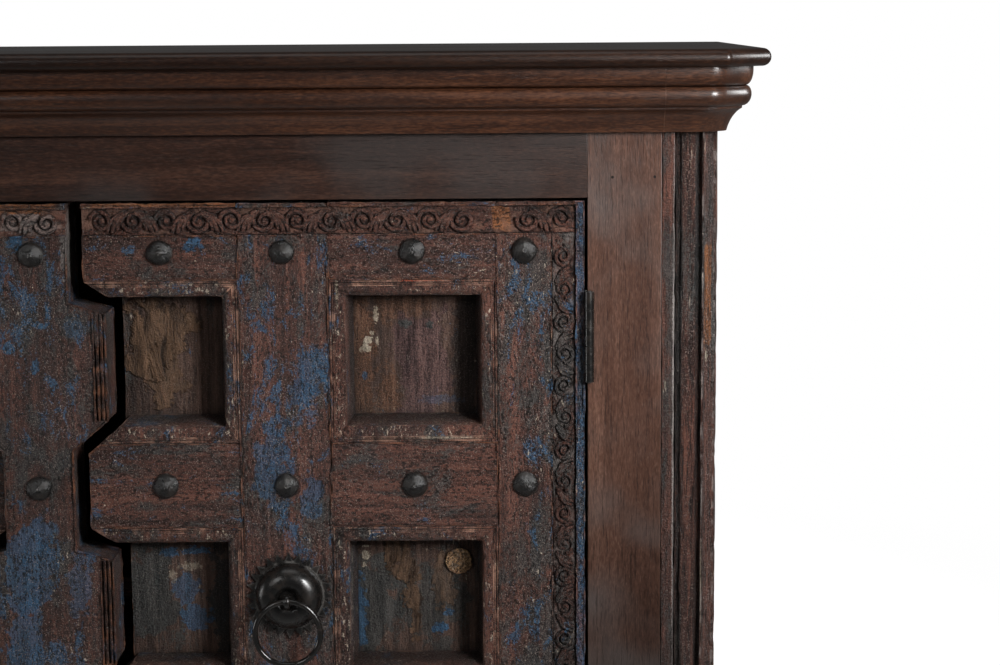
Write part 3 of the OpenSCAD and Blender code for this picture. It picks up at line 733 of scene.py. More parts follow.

# Remains of paint and plaster, and black marks of painted shade: kind, middle and half size along X and Z,
# strength
paintMarks = {
    "hingeStile": [("bare", (0.428, 0.838), (0.009, 0.010), 0.8)],
    "muntin": [
        ("blue", (0.246, 0.690), (0.014, 0.034), 0.6), ("blue", (0.212, 0.610), (0.016, 0.040), 0.6),
        ("blue", (0.250, 0.585), (0.012, 0.022), 0.6),
    ],
    "plank": [
        ("bare", (-0.002, 0.8545), (0.026, 0.0036), 0.9), ("ash", (0.030, 0.822), (0.004, 0.034), 0.5),
        ("blue", (-0.012, 0.822), (0.009, 0.010), 0.95), ("blue", (0.013, 0.756), (0.003, 0.009), 0.95),
        ("blue", (0.006, 0.745), (0.006, 0.004), 0.95), ("blue", (0.000, 0.706), (0.004, 0.008), 0.9),
        ("blue", (-0.023, 0.725), (0.006, 0.007), 0.9), ("film", (0.037, 0.745), (0.016, 0.012), 0.6),
        ("blue", (0.040, 0.742), (0.012, 0.008), 0.4), ("blue", (-0.010, 0.520), (0.022, 0.050), 0.65),
        ("blue", (0.034, 0.500), (0.012, 0.030), 0.5), ("blue", (-0.020, 0.455), (0.020, 0.030), 0.6),
    ],
    "outerRail": [
        ("bare", (0.125, 0.8545), (0.080, 0.0034), 0.8), ("blue", (0.145, 0.818), (0.010, 0.007), 0.9),
        ("blue", (0.088, 0.812), (0.006, 0.004), 0.8),
    ],
    "mould": [
        ("cream", (0.372, 0.638), (0.030, 0.0016), 0.8), ("red", (0.350, 0.7835), (0.020, 0.0012), 0.9),
        ("cream", (0.2745, 0.775), (0.0014, 0.014), 0.7),
    ],
    "panel": [
        ("tan", (0.293, 0.705), (0.012, 0.075), 0.7), ("tan", (0.317, 0.668), (0.011, 0.034), 0.7),
        ("tan", (0.330, 0.760), (0.034, 0.020), 0.6), ("plum", (0.350, 0.700), (0.026, 0.060), 0.8),
        # the black mark at the right of this recess is a painted shadow, where the recess's right wall shades
        # its board
        ("black", (0.390, 0.705), (0.013, 0.075), 0.55), ("plaster", (0.102, 0.730), (0.034, 0.034), 0.95),
        ("plaster", (0.112, 0.690), (0.020, 0.030), 0.8), ("blue", (0.068, 0.700), (0.005, 0.013), 0.9),
        ("blue", (0.071, 0.725), (0.003, 0.006), 0.8), ("cream", (0.3075, 0.747), (0.0022, 0.008), 0.9),
        ("cream", (0.2995, 0.7235), (0.0045, 0.004), 0.9), ("cream", (0.2975, 0.716), (0.005, 0.004), 0.9),
        ("cream", (0.3085, 0.7215), (0.0016, 0.004), 0.8), ("cream", (0.3035, 0.729), (0.002, 0.0025), 0.9),
        ("blue", (0.2965, 0.690), (0.003, 0.0035), 0.8), ("blue", (0.366, 0.667), (0.022, 0.004), 0.3),
        ("film", (0.334, 0.738), (0.006, 0.004), 0.9), ("film", (0.357, 0.737), (0.004, 0.004), 0.9),
        ("film", (0.300, 0.470), (0.022, 0.060), 0.8), ("film", (0.360, 0.475), (0.030, 0.050), 0.7),
        ("plaster", (0.322, 0.524), (0.014, 0.016), 0.95), ("plaster", (0.331, 0.502), (0.014, 0.015), 0.9),
        ("plaster", (0.338, 0.478), (0.009, 0.018), 0.9), ("plaster", (0.341, 0.452), (0.005, 0.018), 0.9),
        ("plaster", (0.368, 0.490), (0.011, 0.030), 0.6), ("blue", (0.288, 0.463), (0.007, 0.040), 0.8),
        ("blue", (0.364, 0.447), (0.007, 0.006), 0.95), ("blue", (0.372, 0.463), (0.005, 0.004), 0.7),
        ("cream", (0.2945, 0.5175), (0.0045, 0.0045), 0.9), ("cream", (0.293, 0.509), (0.002, 0.002), 0.9),
        ("cream", (0.295, 0.527), (0.004, 0.001), 0.9), ("film", (0.092, 0.480), (0.024, 0.055), 0.8),
        # the black mark at the right of the lower recess is a painted shadow of its right wall
        ("black", (0.158, 0.480), (0.013, 0.060), 0.8), ("blue", (0.128, 0.487), (0.013, 0.014), 0.55),
        ("blue", (0.136, 0.457), (0.016, 0.012), 0.65), ("blue", (0.110, 0.522), (0.008, 0.005), 0.8),
        ("blue", (0.135, 0.524), (0.014, 0.004), 0.8), ("cream", (0.128, 0.508), (0.010, 0.004), 0.4),
        ("cream", (0.112, 0.500), (0.004, 0.006), 0.4),
    ],
    "carving": [
        ("bare", (0.424, 0.839), (0.009, 0.012), 0.95), ("ash", (0.000, 0.836), (0.034, 0.011), 0.4),
        ("bare", (-0.008, 0.8492), (0.022, 0.003), 0.9),
    ],
    "post": [
        # the black lines are painted shade down the post's grooves
        ("black", (0.6010, 0.84), (0.0024, 0.12), 0.85), ("black", (0.5850, 0.70), (0.0022, 0.20), 0.7),
        ("bare", (0.6115, 0.768), (0.0038, 0.050), 1.0), ("cream", (0.6105, 0.712), (0.0012, 0.005), 1.0),
        ("cream", (0.605, 0.691), (0.0005, 0.009), 1.0), ("cream", (0.6063, 0.500), (0.0006, 0.04), 0.6),
    ],
    # the pale line along the strip's right arris is wear and a painted highlight where the edge catches the
    # light
    "strip": [("ash", (0.5800, 0.66), (0.0014, 0.26), 0.8)],
}

oldBoards = {
    "hingeStile": makeOldWood("oldHingeStile", "z", film=0.6, blue=0.45, cream=0.6, tint=1.3,
                              edgeStrip=0.4905, marks=paintMarks["hingeStile"]),
    "muntin": makeOldWood("oldMuntin", "z", film=0.45, blue=0.6, cream=0.5, tint=1.25, shift=(0, 3, 0),
                          marks=paintMarks["muntin"]),
    "plank": makeOldWood("oldPlank", "z", film=0.5, blue=0.55, cream=0.3, tint=0.95, shift=(4, 3, 1),
                         marks=paintMarks["plank"]),
    "outerRail": makeOldWood("oldOuterRail", "x", film=0.3, blue=0.3, cream=0.5, tint=0.92, shift=(1, 8, 0),
                             marks=paintMarks["outerRail"]),
    "middleRail": makeOldWood("oldMiddleRail", "x", film=0.3, blue=0.4, cream=0.3, shift=(6, 0, 2)),
    # the mouldings get painted shade towards the back of the recesses (sunk)
    "mould": makeOldWood("oldMould", "z", film=0.25, blue=0.4, cream=1.0, wear=1.0, tint=1.1, shift=(2, 2, 9),
                         reach=0.003, sunk=(-0.172, -0.150, 0.65), look=mouldWood, marks=paintMarks["mould"]),
    "panel": makeOldWood("oldPanel", "z", film=0.2, blue=0.1, cream=0.35, shift=(7, 7, 0), stripes=0.62,
                         gritty=0.14, pits=0.35, dust=0.3, drawn=0.2, look=recessWood,
                         marks=paintMarks["panel"]),
    "carving": makeOldWood("oldCarving", "x", film=0.1, blue=0.1, cream=0.3, wear=0.6, reach=0.0009,
                           cornerShadeAndGrime=0.97, cavity=0.007, dust=0.35, look=brownWorn, marks=paintMarks["carving"]),
    "uprightCarving": makeOldWood("oldUprightCarving", "z", film=0.55, blue=0.2, cream=0.3, wear=0.3,
                                  tint=0.75, shift=(2, 8, 5), reach=0.0009, cornerShadeAndGrime=0.97, cavity=0.007,
                                  dust=0.35, look=greyWorn),
    "post": makeOldWood("oldPost", "z", film=0.3, blue=-1, cream=0.3, wear=0.5, tint=1.05, shift=(3, 3, 3),
                        cornerShadeAndGrime=0.8, stripes=0.6, drawn=0.06, look=greyWorn, marks=paintMarks["post"]),
    "strip": makeOldWood("oldStrip", "z", film=0.5, blue=-1, cream=0.0, wear=1.0, tint=1.4, shift=(1, 3, 6),
                         cornerShadeAndGrime=0.5, stripes=0.5, drawn=0.1, dust=0.3, pits=0.4, look=greyWorn,
                         marks=paintMarks["strip"]),
    "plug": makeOldWood("oldPlug", "z", film=0.0, blue=-1, cream=0.5, wear=0.3, tint=1.7, shift=(0, 1, 9),
                        cornerShadeAndGrime=0.3, stripes=0.1, drawn=1, gritty=0.6, look=corkWood),
}
irons = {
    "dome": makeIron("satinIron", rough=0.2, hammer=0.1, rubbed=0.5),
    "stud": makeIron("forgedIron", rough=0.24, hammer=1.0, rubbed=0.9, depth=0.0011),
    "hinge": makeIron("hingeIron", rough=0.18, hammer=0.2, rubbed=0.3),
    "ring": makeIron("rubbedIron", rough=0.14, hammer=0.12, rubbed=0.5),
}
print("materials ready")


# Cabinet of new wood: each board's wood, how far its arrises are eased, and whether it has mitres to round

middleBoards = {
    "top_rail": ("railX", 0.0006, False),
    "bottom_rail": ("railX", 0.0006, False),
    "top_board": ("topX", 0.0008, True),
    "cornice_front": ("corniceX", 0.0007, False),
    "plinth_front": ("corniceX", 0.0007, False),
}
sideBoards = {
    "stile": ("stileZ", 0.0007, False),
    "cornice_corner": ("corniceX", 0.0007, True),
    "cornice_side": ("corniceY", 0.0007, False),
    "plinth_corner": ("corniceX", 0.0007, True),
    "plinth_side": ("corniceY", 0.0007, False),
    "side_frame": ("sideZ", 0.0008, False),
    "side_panel": ("panelZ", 0.0006, False),
}
plainNodes = {
    "insideX": ("floor_board", "shelf", "door_stop", "back_rails"),
    "insideZ": ("floor_cleats", "shelf_cleats", "back_boards"),
}


def makeCabinet():
    boards = dict(middleBoards)
    for side in sides:
        boards.update({f"{part}_{side}": board for part, board in sideBoards.items()})
    for node, (wood, width, mitres) in boards.items():
        softBoard(node, "carcass", woods[wood], "dark_wood", width, mitres)
    for wood, nodes in plainNodes.items():
        for node in nodes:
            frame["nodes"][node].data.materials.clear()
            frame["nodes"][node].data.materials.append(woods[wood])


makeCabinet()


tongueLook = {
    "boards": 6,
    "wide": 0.006,
    "thick": 0.003,
    "short": 0.004,
}


def makeTongues(look):
    # loose tongues that close the joints of the back boards
    low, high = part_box("back_boards")
    tongues = []
    for i in range(1, look["boards"]):
        dropAll()
        bpy.ops.mesh.primitive_cube_add(size=1, location=(low + high) / 2)
        tongue = bpy.context.object
        tongue.location.x = low.x + (high.x - low.x) * i / look["boards"]
        tongue.scale = (look["wide"], look["thick"], high.z - low.z - look["short"])
        tongues.append(tongue)
    dress(joinAll(tongues, "backTongues"), "carcass", woods["insideZ"], "plain_wood")


makeTongues(tongueLook)
print("cabinet done")


# Old corner posts and strips

cornerLook = {
    "post": {"soft": 0.0007, "sag": 0.0006, "splinters": 0.0007, "chips": 0.0016},
    "strip": {"soft": 0.0006, "sag": 0.0007, "chips": 0.0012},
}


def makePost(node, look):
    post = copyNode(node)
    cutAcross(post, 2, cell["post"])
    markArrises(post)
    soften(post, look["soft"])
    press(post, "sag", look["sag"])
    press(post, "splinters", look["splinters"], grain="z")
    press(post, "chips", look["chips"], "arris", "z")
    applyAll(post)
    # the foot stays flat on the floor
    edit()
    pick(lambda co: co.z < 0)
    bpy.ops.transform.resize(value=(1, 1, 0), center_override=(0, 0, 0))
    done()
    smooth(post)
    dress(post, "carcass", oldBoards["post"], "old_wood", node)


def makeStrips(node, look):
    strips = copyNode(node)
    cutAcross(strips, 2, cell["post"])
    markArrises(strips)
    soften(strips, look["soft"])
    press(strips, "sag", look["sag"])
    press(strips, "chips", look["chips"], "arris")
    applyAll(strips)
    smooth(strips)
    dress(strips, "carcass", oldBoards["strip"], "dark_wood", node)


for side in sides:
    makePost("corner_post_" + side, cornerLook["post"])
    makeStrips("corner_strips_" + side, cornerLook["strip"])
print("corners done")


# Doors of old wood: each board's grain, wood, slot, how finely it is cut up and how worn it is

doorBoards = {
    "hinge_stile": ("z", "hingeStile", "painted_wood", "board", 1.0),
    "muntin": ("z", "muntin", "painted_wood", "board", 1.0),
    "outer_rails": ("x", "outerRail", "old_wood", "board", 1.0),
    "middle_rails": ("x", "middleRail", "old_wood", "board", 1.0),
    "backing": ("z", "panel", "panel_wood", "panel", 0.7),
    "mouldings": ("z", "mould", "old_wood", "mould", 0.4),
}


def makeDoorBoards(side):
    for part, (grain, wood, slotName, kind, wear) in doorBoards.items():
        wornBoard(part + "_" + side, grain, side + "_door", oldBoards[wood], slotName, kind, wear)
    print(side, "door's boards done")


for side in sides:
    makeDoorBoards(side)
wornBoard("centre_plank", "z", "left_door", oldBoards["plank"], "painted_wood")
print("plank done")


# Carved bands: volutes swept in half turns of shrinking radius, with sheaves of leaf strokes between them

carving = {
    "pitch": 0.0297,
    "firstAt": 0.52,                                 # in pitches from the band's start
    "endRoom": 0.6,
    "rim": 0.0086,
    "tighten": 0.0052,
    "taper": 0.93,
    "ridge": 0.0021,
    "ridgeSides": 8,
    "halfTurns": 3,
    "bud": 0.0029,
    "budIn": 0.4,                                    # its place, as a share of the way out to the end
    "leaves": ((-1, 0.8), (0, 1.0), (1, 0.86)),      # lean and size of each stroke
    "swell": (1.5, 1.25, 1.0, 0.8, 0.45),            # how a stroke fattens and thins along its bend
    "leafLong": 0.9,
    "leafBend": 0.025,
    "leafThick": 0.001705,
    "leafSides": 7,
    "leafLean": 0.12,
    "leafStep": (0.0042, 0, 0.001),
    "leafShift": -0.002,
    "ground": 0.0030,
    "groundStep": 0.003,
    "groundWear": 0.0008,
    "flat": 0.0003,
    "jitter": 0.0005,
    "turns": 0.25,
    "sizes": (0.95, 1.02),
    "margin": 0.0022,
}
chance = random.Random(7)


def makeVolute(look):
    dropAll()
    bpy.ops.mesh.primitive_circle_add(vertices=look["ridgeSides"], radius=look["ridge"], fill_type="NGON",
                                      location=(look["rim"], 0, 0))
    volute = bpy.context.object
    settle()
    edit()
    pickAll()
    radius, middle, way = look["rim"], 0.0, 1
    for halfTurn in range(look["halfTurns"]):
        bpy.ops.mesh.spin(steps=8, angle=math.pi, center=(middle, 0, 0), axis=(0, 1, 0))
        end = middle - way * radius
        bpy.ops.transform.resize(value=[look["taper"]] * 3, center_override=(end, 0, 0))
        radius -= look["tighten"] / 2
        middle = end + way * radius
        way = -way
    done()
    dropAll()
    bpy.ops.mesh.primitive_uv_sphere_add(segments=10, ring_count=6, radius=look["bud"],
                                         location=(end * look["budIn"], 0, 0), rotation=(math.pi / 2, 0, 0))
    return joinAll([volute, bpy.context.object], "volute")


def makeStroke(look, lean, size):
    dropAll()
    bpy.ops.mesh.primitive_circle_add(vertices=look["leafSides"], radius=look["leafThick"], fill_type="NGON")
    stroke = bpy.context.object
    bend = look["leafBend"]
    angle = look["leafLong"] / len(look["swell"])
    edit()
    pickAll()
    for part, fatter in enumerate(look["swell"]):
        bpy.ops.mesh.spin(steps=1, angle=angle, center=(bend, 0, 0), axis=(0, -1, 0))
        swung = angle * (part + 1)
        spot = (bend * (1 - math.cos(swung)), 0, bend * math.sin(swung))
        bpy.ops.transform.resize(value=(fatter, fatter, fatter), center_override=spot)
    done()
    bpy.ops.transform.translate(value=(0, 0, -bend * math.sin(look["leafLong"]) / 2))
    settle()
    stroke.rotation_euler = (0, look["leafLean"], 0)
    stroke.scale = (size, 1, size)
    settle()
    stroke.location = [lean * step for step in look["leafStep"]]
    stroke.location.x += look["leafShift"]
    settle()
    return stroke


def makeSheaf(look):
    return joinAll([makeStroke(look, lean, size) for lean, size in look["leaves"]], "sheaf")


def stamp(template, spot, turn=0.0, flip=(1, 1, 1), size=1.0):
    piece = bpy.data.objects.new("stamp", template.data.copy())
    bpy.context.scene.collection.objects.link(piece)
    spread = Matrix.Diagonal((*(size * part for part in flip), 1))
    piece.matrix_world = Matrix.Translation(spot) @ Matrix.Rotation(turn, 4, "Y") @ spread
    return piece


def uprightGrid(x, z, y, step):
    # a plate that faces the front, finely cut, with walls back to its seat
    dropAll()
    wide, high = x[1] - x[0], z[1] - z[0]
    bpy.ops.mesh.primitive_grid_add(x_subdivisions=max(2, round(wide / step)),
                                    y_subdivisions=max(2, round(high / step)), size=1,
                                    location=((x[0] + x[1]) / 2, y[0], (z[0] + z[1]) / 2),
                                    rotation=(math.pi / 2, 0, 0))
    plate = bpy.context.object
    plate.scale = (wide, high, 1)
    settle()
    edit("EDGE")
    pickAll()
    bpy.ops.mesh.region_to_loop()
    bpy.ops.mesh.extrude_edges_move(TRANSFORM_OT_translate={"value": (0, y[1] - y[0], 0)})
    bpy.ops.mesh.edge_face_add()
    faceOutward()
    done()
    return plate


def carvedBand(name, start, end, across, face, seat, templates, skip=(), first=None, look=carving):
    # a band along X, centred on Z = 0; face is the board's front and seat the bottom of the rebate
    volute, sheaf = templates
    depths = (face + look["ground"], seat)
    ground = uprightGrid((start, end), (-across / 2, across / 2), depths, look["groundStep"])
    press(ground, "ripple", look["groundWear"])
    press(ground, "pits", look["groundWear"])
    applyAll(ground)
    parts = [ground]
    room = (across - look["margin"]) / (2 * (look["rim"] + look["ridge"]))
    top = face + look["ridge"] + look["flat"]
    spot = first if first is not None else start + look["pitch"] * look["firstAt"]
    count = int((end - spot) / look["pitch"] + look["endRoom"])
    for i in range(count):
        over = 1 if i % 2 else -1
        wobble = [chance.uniform(-1, 1) * look["jitter"] for k in range(3)]
        middle = spot + i * look["pitch"] + wobble[0]
        if i in skip:
            continue
        turn = math.pi + chance.uniform(-look["turns"], look["turns"])
        size = room * chance.uniform(*look["sizes"])
        seated = (middle, top + abs(wobble[1]) * 0.6, wobble[2])
        parts.append(stamp(volute, seated, turn, (1, 1, over), size))
        if i < count - 1 and i + 1 not in skip:
            beside = (middle + look["pitch"] / 2, top + look["flat"], wobble[2])
            parts.append(stamp(sheaf, beside, 0, (-over, 1, 1), room))
    return joinAll(parts, name)


bandLook = {
    "high": 0.025,
    "outer": 0.491,
    "inner": {"left": 0.0324, "right": 0.045},
    "wornOff": {"left": (5,), "right": (12,)},       # volutes of the upper band that are worn away
    "first": {"left": None, "right": 0.0609},        # the first volute's place, where the band doesn't set it
    "plank": 0.032,
    "plankRise": 0.006,
    "rebate": 0.0042,
    "uprightWide": 0.021,
}


def makeFrieze(side, templates, face, seat, look):
    low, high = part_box("frieze_" + side)
    levels = {high.z - look["high"] / 2: look["wornOff"][side], low.z + look["high"] / 2: ()}
    ends = sorted(sides[side] * end for end in (look["inner"][side], look["outer"]))
    first = look["first"][side]
    bands = []
    for z, skip in levels.items():
        bands.append(carvedBand("band", *ends, look["high"], face, seat, templates, skip, first))
        bands[-1].location.z = z
    if side == "left":
        # the centre plank stands proud of the door and carries bands of its own
        plank, rise = look["plank"], look["plankRise"]
        for z in levels:
            bands.append(carvedBand("band", -plank, plank, look["high"], face - rise, seat - rise, templates))
            bands[-1].location.z = z
    frieze = joinAll(bands, "frieze" + side.capitalize())
    smooth(frieze, 0.9)
    dress(frieze, side + "_door", oldBoards["carving"], "old_wood", "frieze_" + side)


def makeUprightCarving(side, templates, face, seat, look):
    low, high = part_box("upright_carving_" + side)
    upright = carvedBand("uprightCarving" + side.capitalize(), low.z, high.z, look["uprightWide"], face, seat,
                         templates)
    turn = Matrix.Rotation(-math.pi / 2, 4, "Y")
    upright.matrix_world = Matrix.Translation(((low.x + high.x) / 2, 0, 0)) @ turn
    takeUp(upright)
    settle()
    smooth(upright, 0.9)
    dress(upright, side + "_door", oldBoards["uprightCarving"], "old_wood", "upright_carving_" + side)


def makeCarving(look):
    templates = (makeVolute(carving), makeSheaf(carving))
    for side in sides:
        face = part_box("hinge_stile_" + side)[0].y
        makeFrieze(side, templates, face, face + look["rebate"], look)
        makeUprightCarving(side, templates, face, face + look["rebate"], look)
    for template in templates:
        bpy.data.objects.remove(template)


makeCarving(bandLook)
print("carving done")


# Turned and forged iron

def turned(name, line, steps):
    # a closed line of (radius, height) points spun round the front-facing axis
    dropAll()
    bpy.ops.mesh.primitive_plane_add(size=0.001, location=(line[0][0], -line[0][1], 0))
    piece = bpy.context.object
    piece.name = name
    settle()
    edit()
    pickAll()
    bpy.ops.mesh.merge(type="CENTER")
    for (r0, h0), (r1, h1) in zip(line, line[1:]):
        bpy.ops.mesh.extrude_region_move(TRANSFORM_OT_translate={"value": (r1 - r0, h0 - h1, 0)})
    pickAll()
    bpy.ops.mesh.spin(steps=steps, angle=2 * math.pi, center=(0, 0, 0), axis=(0, 1, 0))
    pickAll()
    bpy.ops.mesh.remove_doubles(threshold=0.00002)
    faceOutward()
    done()
    return piece


def seatsOf(node):
    # the middle of each separate solid in a node of the frame, on the board that it sits on
    copyNode(node)
    edit()
    pickAll()
    bpy.ops.mesh.separate(type="LOOSE")
    done()
    spots = []
    for part in list(bpy.context.selected_objects):
        places = [vertex.co for vertex in part.data.vertices]
        reach = [(min(spot[k] for spot in places), max(spot[k] for spot in places)) for k in range(3)]
        spots.append([sum(reach[0]) / 2, reach[1][1], sum(reach[2]) / 2])
        bpy.data.objects.remove(part)
    return spots


studLook = {
    "line": [(0, -0.0015), (0.0132, -0.0015), (0.0136, 0.0008), (0.0124, 0.0026), (0.0096, 0.0050),
             (0.0060, 0.0068), (0.0034, 0.0078), (0.0024, 0.0089), (0.0010, 0.0091), (0, 0.0091)],
    "kinds": 3,
    "sides": 10,
    "rough": 0.0010,
    "seed": 3,
    "hammered": 0.0012,
    "pitted": 0.0006,
    "smallest": 0.94,
}


def makeStuds(look):
    for side in sides:
        forged = []
        for kind in range(look["kinds"]):
            stud = turned("stud", look["line"], look["sides"] + kind)
            takeUp(stud)
            edit()
            pickAll()
            bpy.ops.transform.vertex_random(offset=look["rough"], uniform=1.0, seed=look["seed"] + kind)
            done()
            rounder = stud.modifiers.new("rounder", "SUBSURF")
            rounder.levels = rounder.render_levels = 1
            press(stud, "ripple", look["hammered"])
            press(stud, "pits", look["pitted"])
            applyAll(stud)
            forged.append(stud)
        heads = []
        for i, spot in enumerate(sorted(seatsOf("studs_" + side))):
            turn = chance.uniform(0, 6.3)
            size = chance.uniform(look["smallest"], 1.0)
            heads.append(stamp(forged[i % look["kinds"]], spot, turn, size=size))
        studs = joinAll(heads, "studs" + side.capitalize())
        smooth(studs, 0.8)
        dress(studs, side + "_door", irons["stud"], "black_iron", "studs_" + side)
        for stud in forged:
            bpy.data.objects.remove(stud)


makeStuds(studLook)
print("studs done")


pullLook = {
    "plate": 0.0015,
    "tip": 0.0405,
    "root": 0.0325,
    "teeth": 24,
    "uneven": 0.0007,
    "soft": 0.0004,
    "dome": 0.032,
    "rim": 0.0012,
    "crest": 0.015,
    "high": 0.017,
    "dimple": 0.006,
    "dimpleWide": 0.0078,
    "domeSteps": 72,
    "ring": 0.0299,
    "wire": 0.0031,
    "ringSteps": 120,
    "wireSides": 16,
    "eye": 0.0055,
    "eyeWire": 0.0018,
    "strap": 1.6,
    "seated": 0.0006,
    "bent": 0.0006,
    "hammered": 0.0004,
}


def domeLine(look):
    plate, edge = look["plate"], look["dome"]
    brim = plate + look["rim"]
    line = [(0, plate - 0.0008), (edge, plate - 0.0008), (edge + 0.0002, plate + 0.0004),
            (edge - 0.0004, brim), (edge - 0.0011, brim + 0.0001)]
    for i in range(13):
        turn = math.radians(7.5 * i)
        line.append((look["crest"] + (edge - look["rim"] - look["crest"]) * math.cos(turn),
                     brim + (look["high"] - look["rim"]) * math.sin(turn)))
    for i in range(1, 10):
        turn = math.radians(90 + 10 * i)
        line.append((look["crest"] + look["dimpleWide"] * math.cos(turn),
                     plate + look["high"] - look["dimple"] * (1 - math.sin(turn))))
    line.append((0, line[-1][1] - 0.0002))
    return line


def makeToothedPlate(look, near=0.0002):
    dropAll()
    bpy.ops.mesh.primitive_circle_add(vertices=2 * look["teeth"], radius=look["tip"], fill_type="NGON",
                                      rotation=(math.pi / 2, 0, 0))
    plate = bpy.context.object
    settle()
    spots = [vertex.co.copy() for vertex in plate.data.vertices]
    edit()
    pick(lambda co: any((co - root).length < near for root in spots[1::2]))
    shrink = look["root"] / look["tip"]
    bpy.ops.transform.resize(value=(shrink, 1, shrink), center_override=(0, 0, 0))
    for tip in spots[0::2]:
        pick(lambda co: (co - tip).length < near)
        sideways, upwards = (chance.uniform(-look["uneven"], look["uneven"]) for k in range(2))
        bpy.ops.transform.translate(value=(sideways, 0, upwards))
    pickAll()
    bpy.ops.mesh.extrude_region_move(TRANSFORM_OT_translate={"value": (0, -look["plate"], 0)})
    faceOutward()
    done()
    soften(plate, look["soft"])
    applyAll(plate)
    return plate


def makeRose(side, look):
    low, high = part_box("rose_" + side)
    plate = makeToothedPlate(look)
    dome = turned("dome", domeLine(look), look["domeSteps"])
    rose = joinAll([dome, plate], "rose" + side.capitalize())
    rose.location = ((low.x + high.x) / 2, high.y, (low.z + high.z) / 2)
    takeUp(rose)
    settle()
    smooth(rose, 0.6)
    dress(rose, side + "_door", irons["dome"], "black_iron", "rose_" + side)


def makeEye(side, look):
    # a wire loop widened to a strap, on a shank that ends in the board
    low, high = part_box("rose_" + side)
    board = high.y
    middle = Vector(((low.x + high.x) / 2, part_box("eye_" + side)[0].y + look["eye"] + look["eyeWire"],
                     (low.z + high.z) / 2))
    dropAll()
    bpy.ops.mesh.primitive_torus_add(major_segments=40, minor_segments=14, major_radius=look["eye"],
                                     minor_radius=look["eyeWire"], location=middle,
                                     rotation=(0, math.pi / 2, 0))
    loop = bpy.context.object
    settle()
    edit()
    pickAll()
    bpy.ops.transform.resize(value=(look["strap"], 1, 1), center_override=middle)
    done()
    start = middle.y + look["eye"]
    dropAll()
    bpy.ops.mesh.primitive_cylinder_add(vertices=20, radius=look["eyeWire"], depth=board - start,
                                        location=(middle.x, (start + board) / 2, middle.z),
                                        rotation=(math.pi / 2, 0, 0))
    shank = bpy.context.object
    settle()
    edit("FACE")
    pick(lambda co: co.y > board - 0.0001)
    bpy.ops.mesh.inset(thickness=look["seated"], depth=look["seated"] / 3)
    done()
    eye = joinAll([loop, shank], "eye" + side.capitalize())
    press(eye, "ripple", look["hammered"])
    applyAll(eye)
    smooth(eye, 0.8)
    dress(eye, side + "_door", irons["ring"], "black_iron", "eye_" + side)


def makeRing(side, look):
    low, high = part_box("ring_" + side)
    dropAll()
    bpy.ops.mesh.primitive_torus_add(major_segments=look["ringSteps"], minor_segments=look["wireSides"],
                                     major_radius=look["ring"], minor_radius=look["wire"],
                                     location=(low + high) / 2, rotation=(math.pi / 2, 0, 0))
    ring = bpy.context.object
    ring.name = "ring" + side.capitalize()
    settle()
    press(ring, "sag", look["bent"])
    press(ring, "ripple", look["hammered"])
    applyAll(ring)
    smooth(ring, 0.9)
    dress(ring, side + "_ring", irons["ring"], "black_iron", "ring_" + side)


for side in sides:
    makeRose(side, pullLook)
    makeEye(side, pullLook)
    makeRing(side, pullLook)
print("pulls done")


# A cork-coloured plug stuck to the board of the recess beside the right pull

plugLook = {
    "place": (0.3825, 0.5125),
    "radius": 0.0135,
    "thick": 0.0036,
    "sides": 28,
    "sunk": 0.0006,
    "steps": (0.0022, 0.0030, 0.0030),
    "rise": 0.0003,
    "uneven": 0.0007,
    "seed": 11,
    "crumbly": 0.0014,
}


def makePlug(look):
    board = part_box("backing_right")[0].y
    dropAll()
    bpy.ops.mesh.primitive_circle_add(vertices=look["sides"], radius=look["radius"], fill_type="NGON",
                                      location=(look["place"][0], board + look["sunk"], look["place"][1]),
                                      rotation=(math.pi / 2, 0, 0))
    plug = bpy.context.object
    plug.name = "recessPlug"
    settle()
    edit("FACE")
    pickAll()
    bpy.ops.mesh.extrude_region_move(TRANSFORM_OT_translate={"value": (0, -look["thick"], 0)})
    for shrink in look["steps"]:
        bpy.ops.mesh.inset(thickness=shrink, depth=0)
        bpy.ops.transform.translate(value=(0, -look["rise"], 0))
    faceOutward()
    bpy.ops.transform.vertex_random(offset=look["uneven"], uniform=1.0, seed=look["seed"])
    done()
    rounder = plug.modifiers.new("rounder", "SUBSURF")
    rounder.levels = rounder.render_levels = 2
    press(plug, "ripple", look["crumbly"])
    applyAll(plug)
    smooth(plug, 0.9)
    dress(plug, "right_door", oldBoards["plug"], "old_wood")


makePlug(plugLook)
print("plug done")


hingeBodies = {
    "hinge_frame_leaves": "carcass",
    "hinge_pins": "carcass",
    "hinge_leaves_left": "left_door",
    "hinge_leaves_right": "right_door",
}
for node, body in hingeBodies.items():
    softBoard(node, body, irons["hinge"], "black_iron", 0.0003)
print("hinges done")


# Floor, backdrop and lights

stageLook = {
    "floor": (0.80, 0.80, 0.79),
    "glow": 0.83,
    "room": 0.11,
    "near": 1.2,
    "far": 2.6,
    "wide": 60,
}


def glow(tree, strength):
    return put(tree, "ShaderNodeEmission", Strength=strength).outputs[0]


def mixShaders(tree, amount, first, second):
    node = put(tree, "ShaderNodeMixShader")
    for socket, value in zip(node.inputs, (amount, first, second)):
        tree.links.new(value, socket)
    return node.outputs[0]


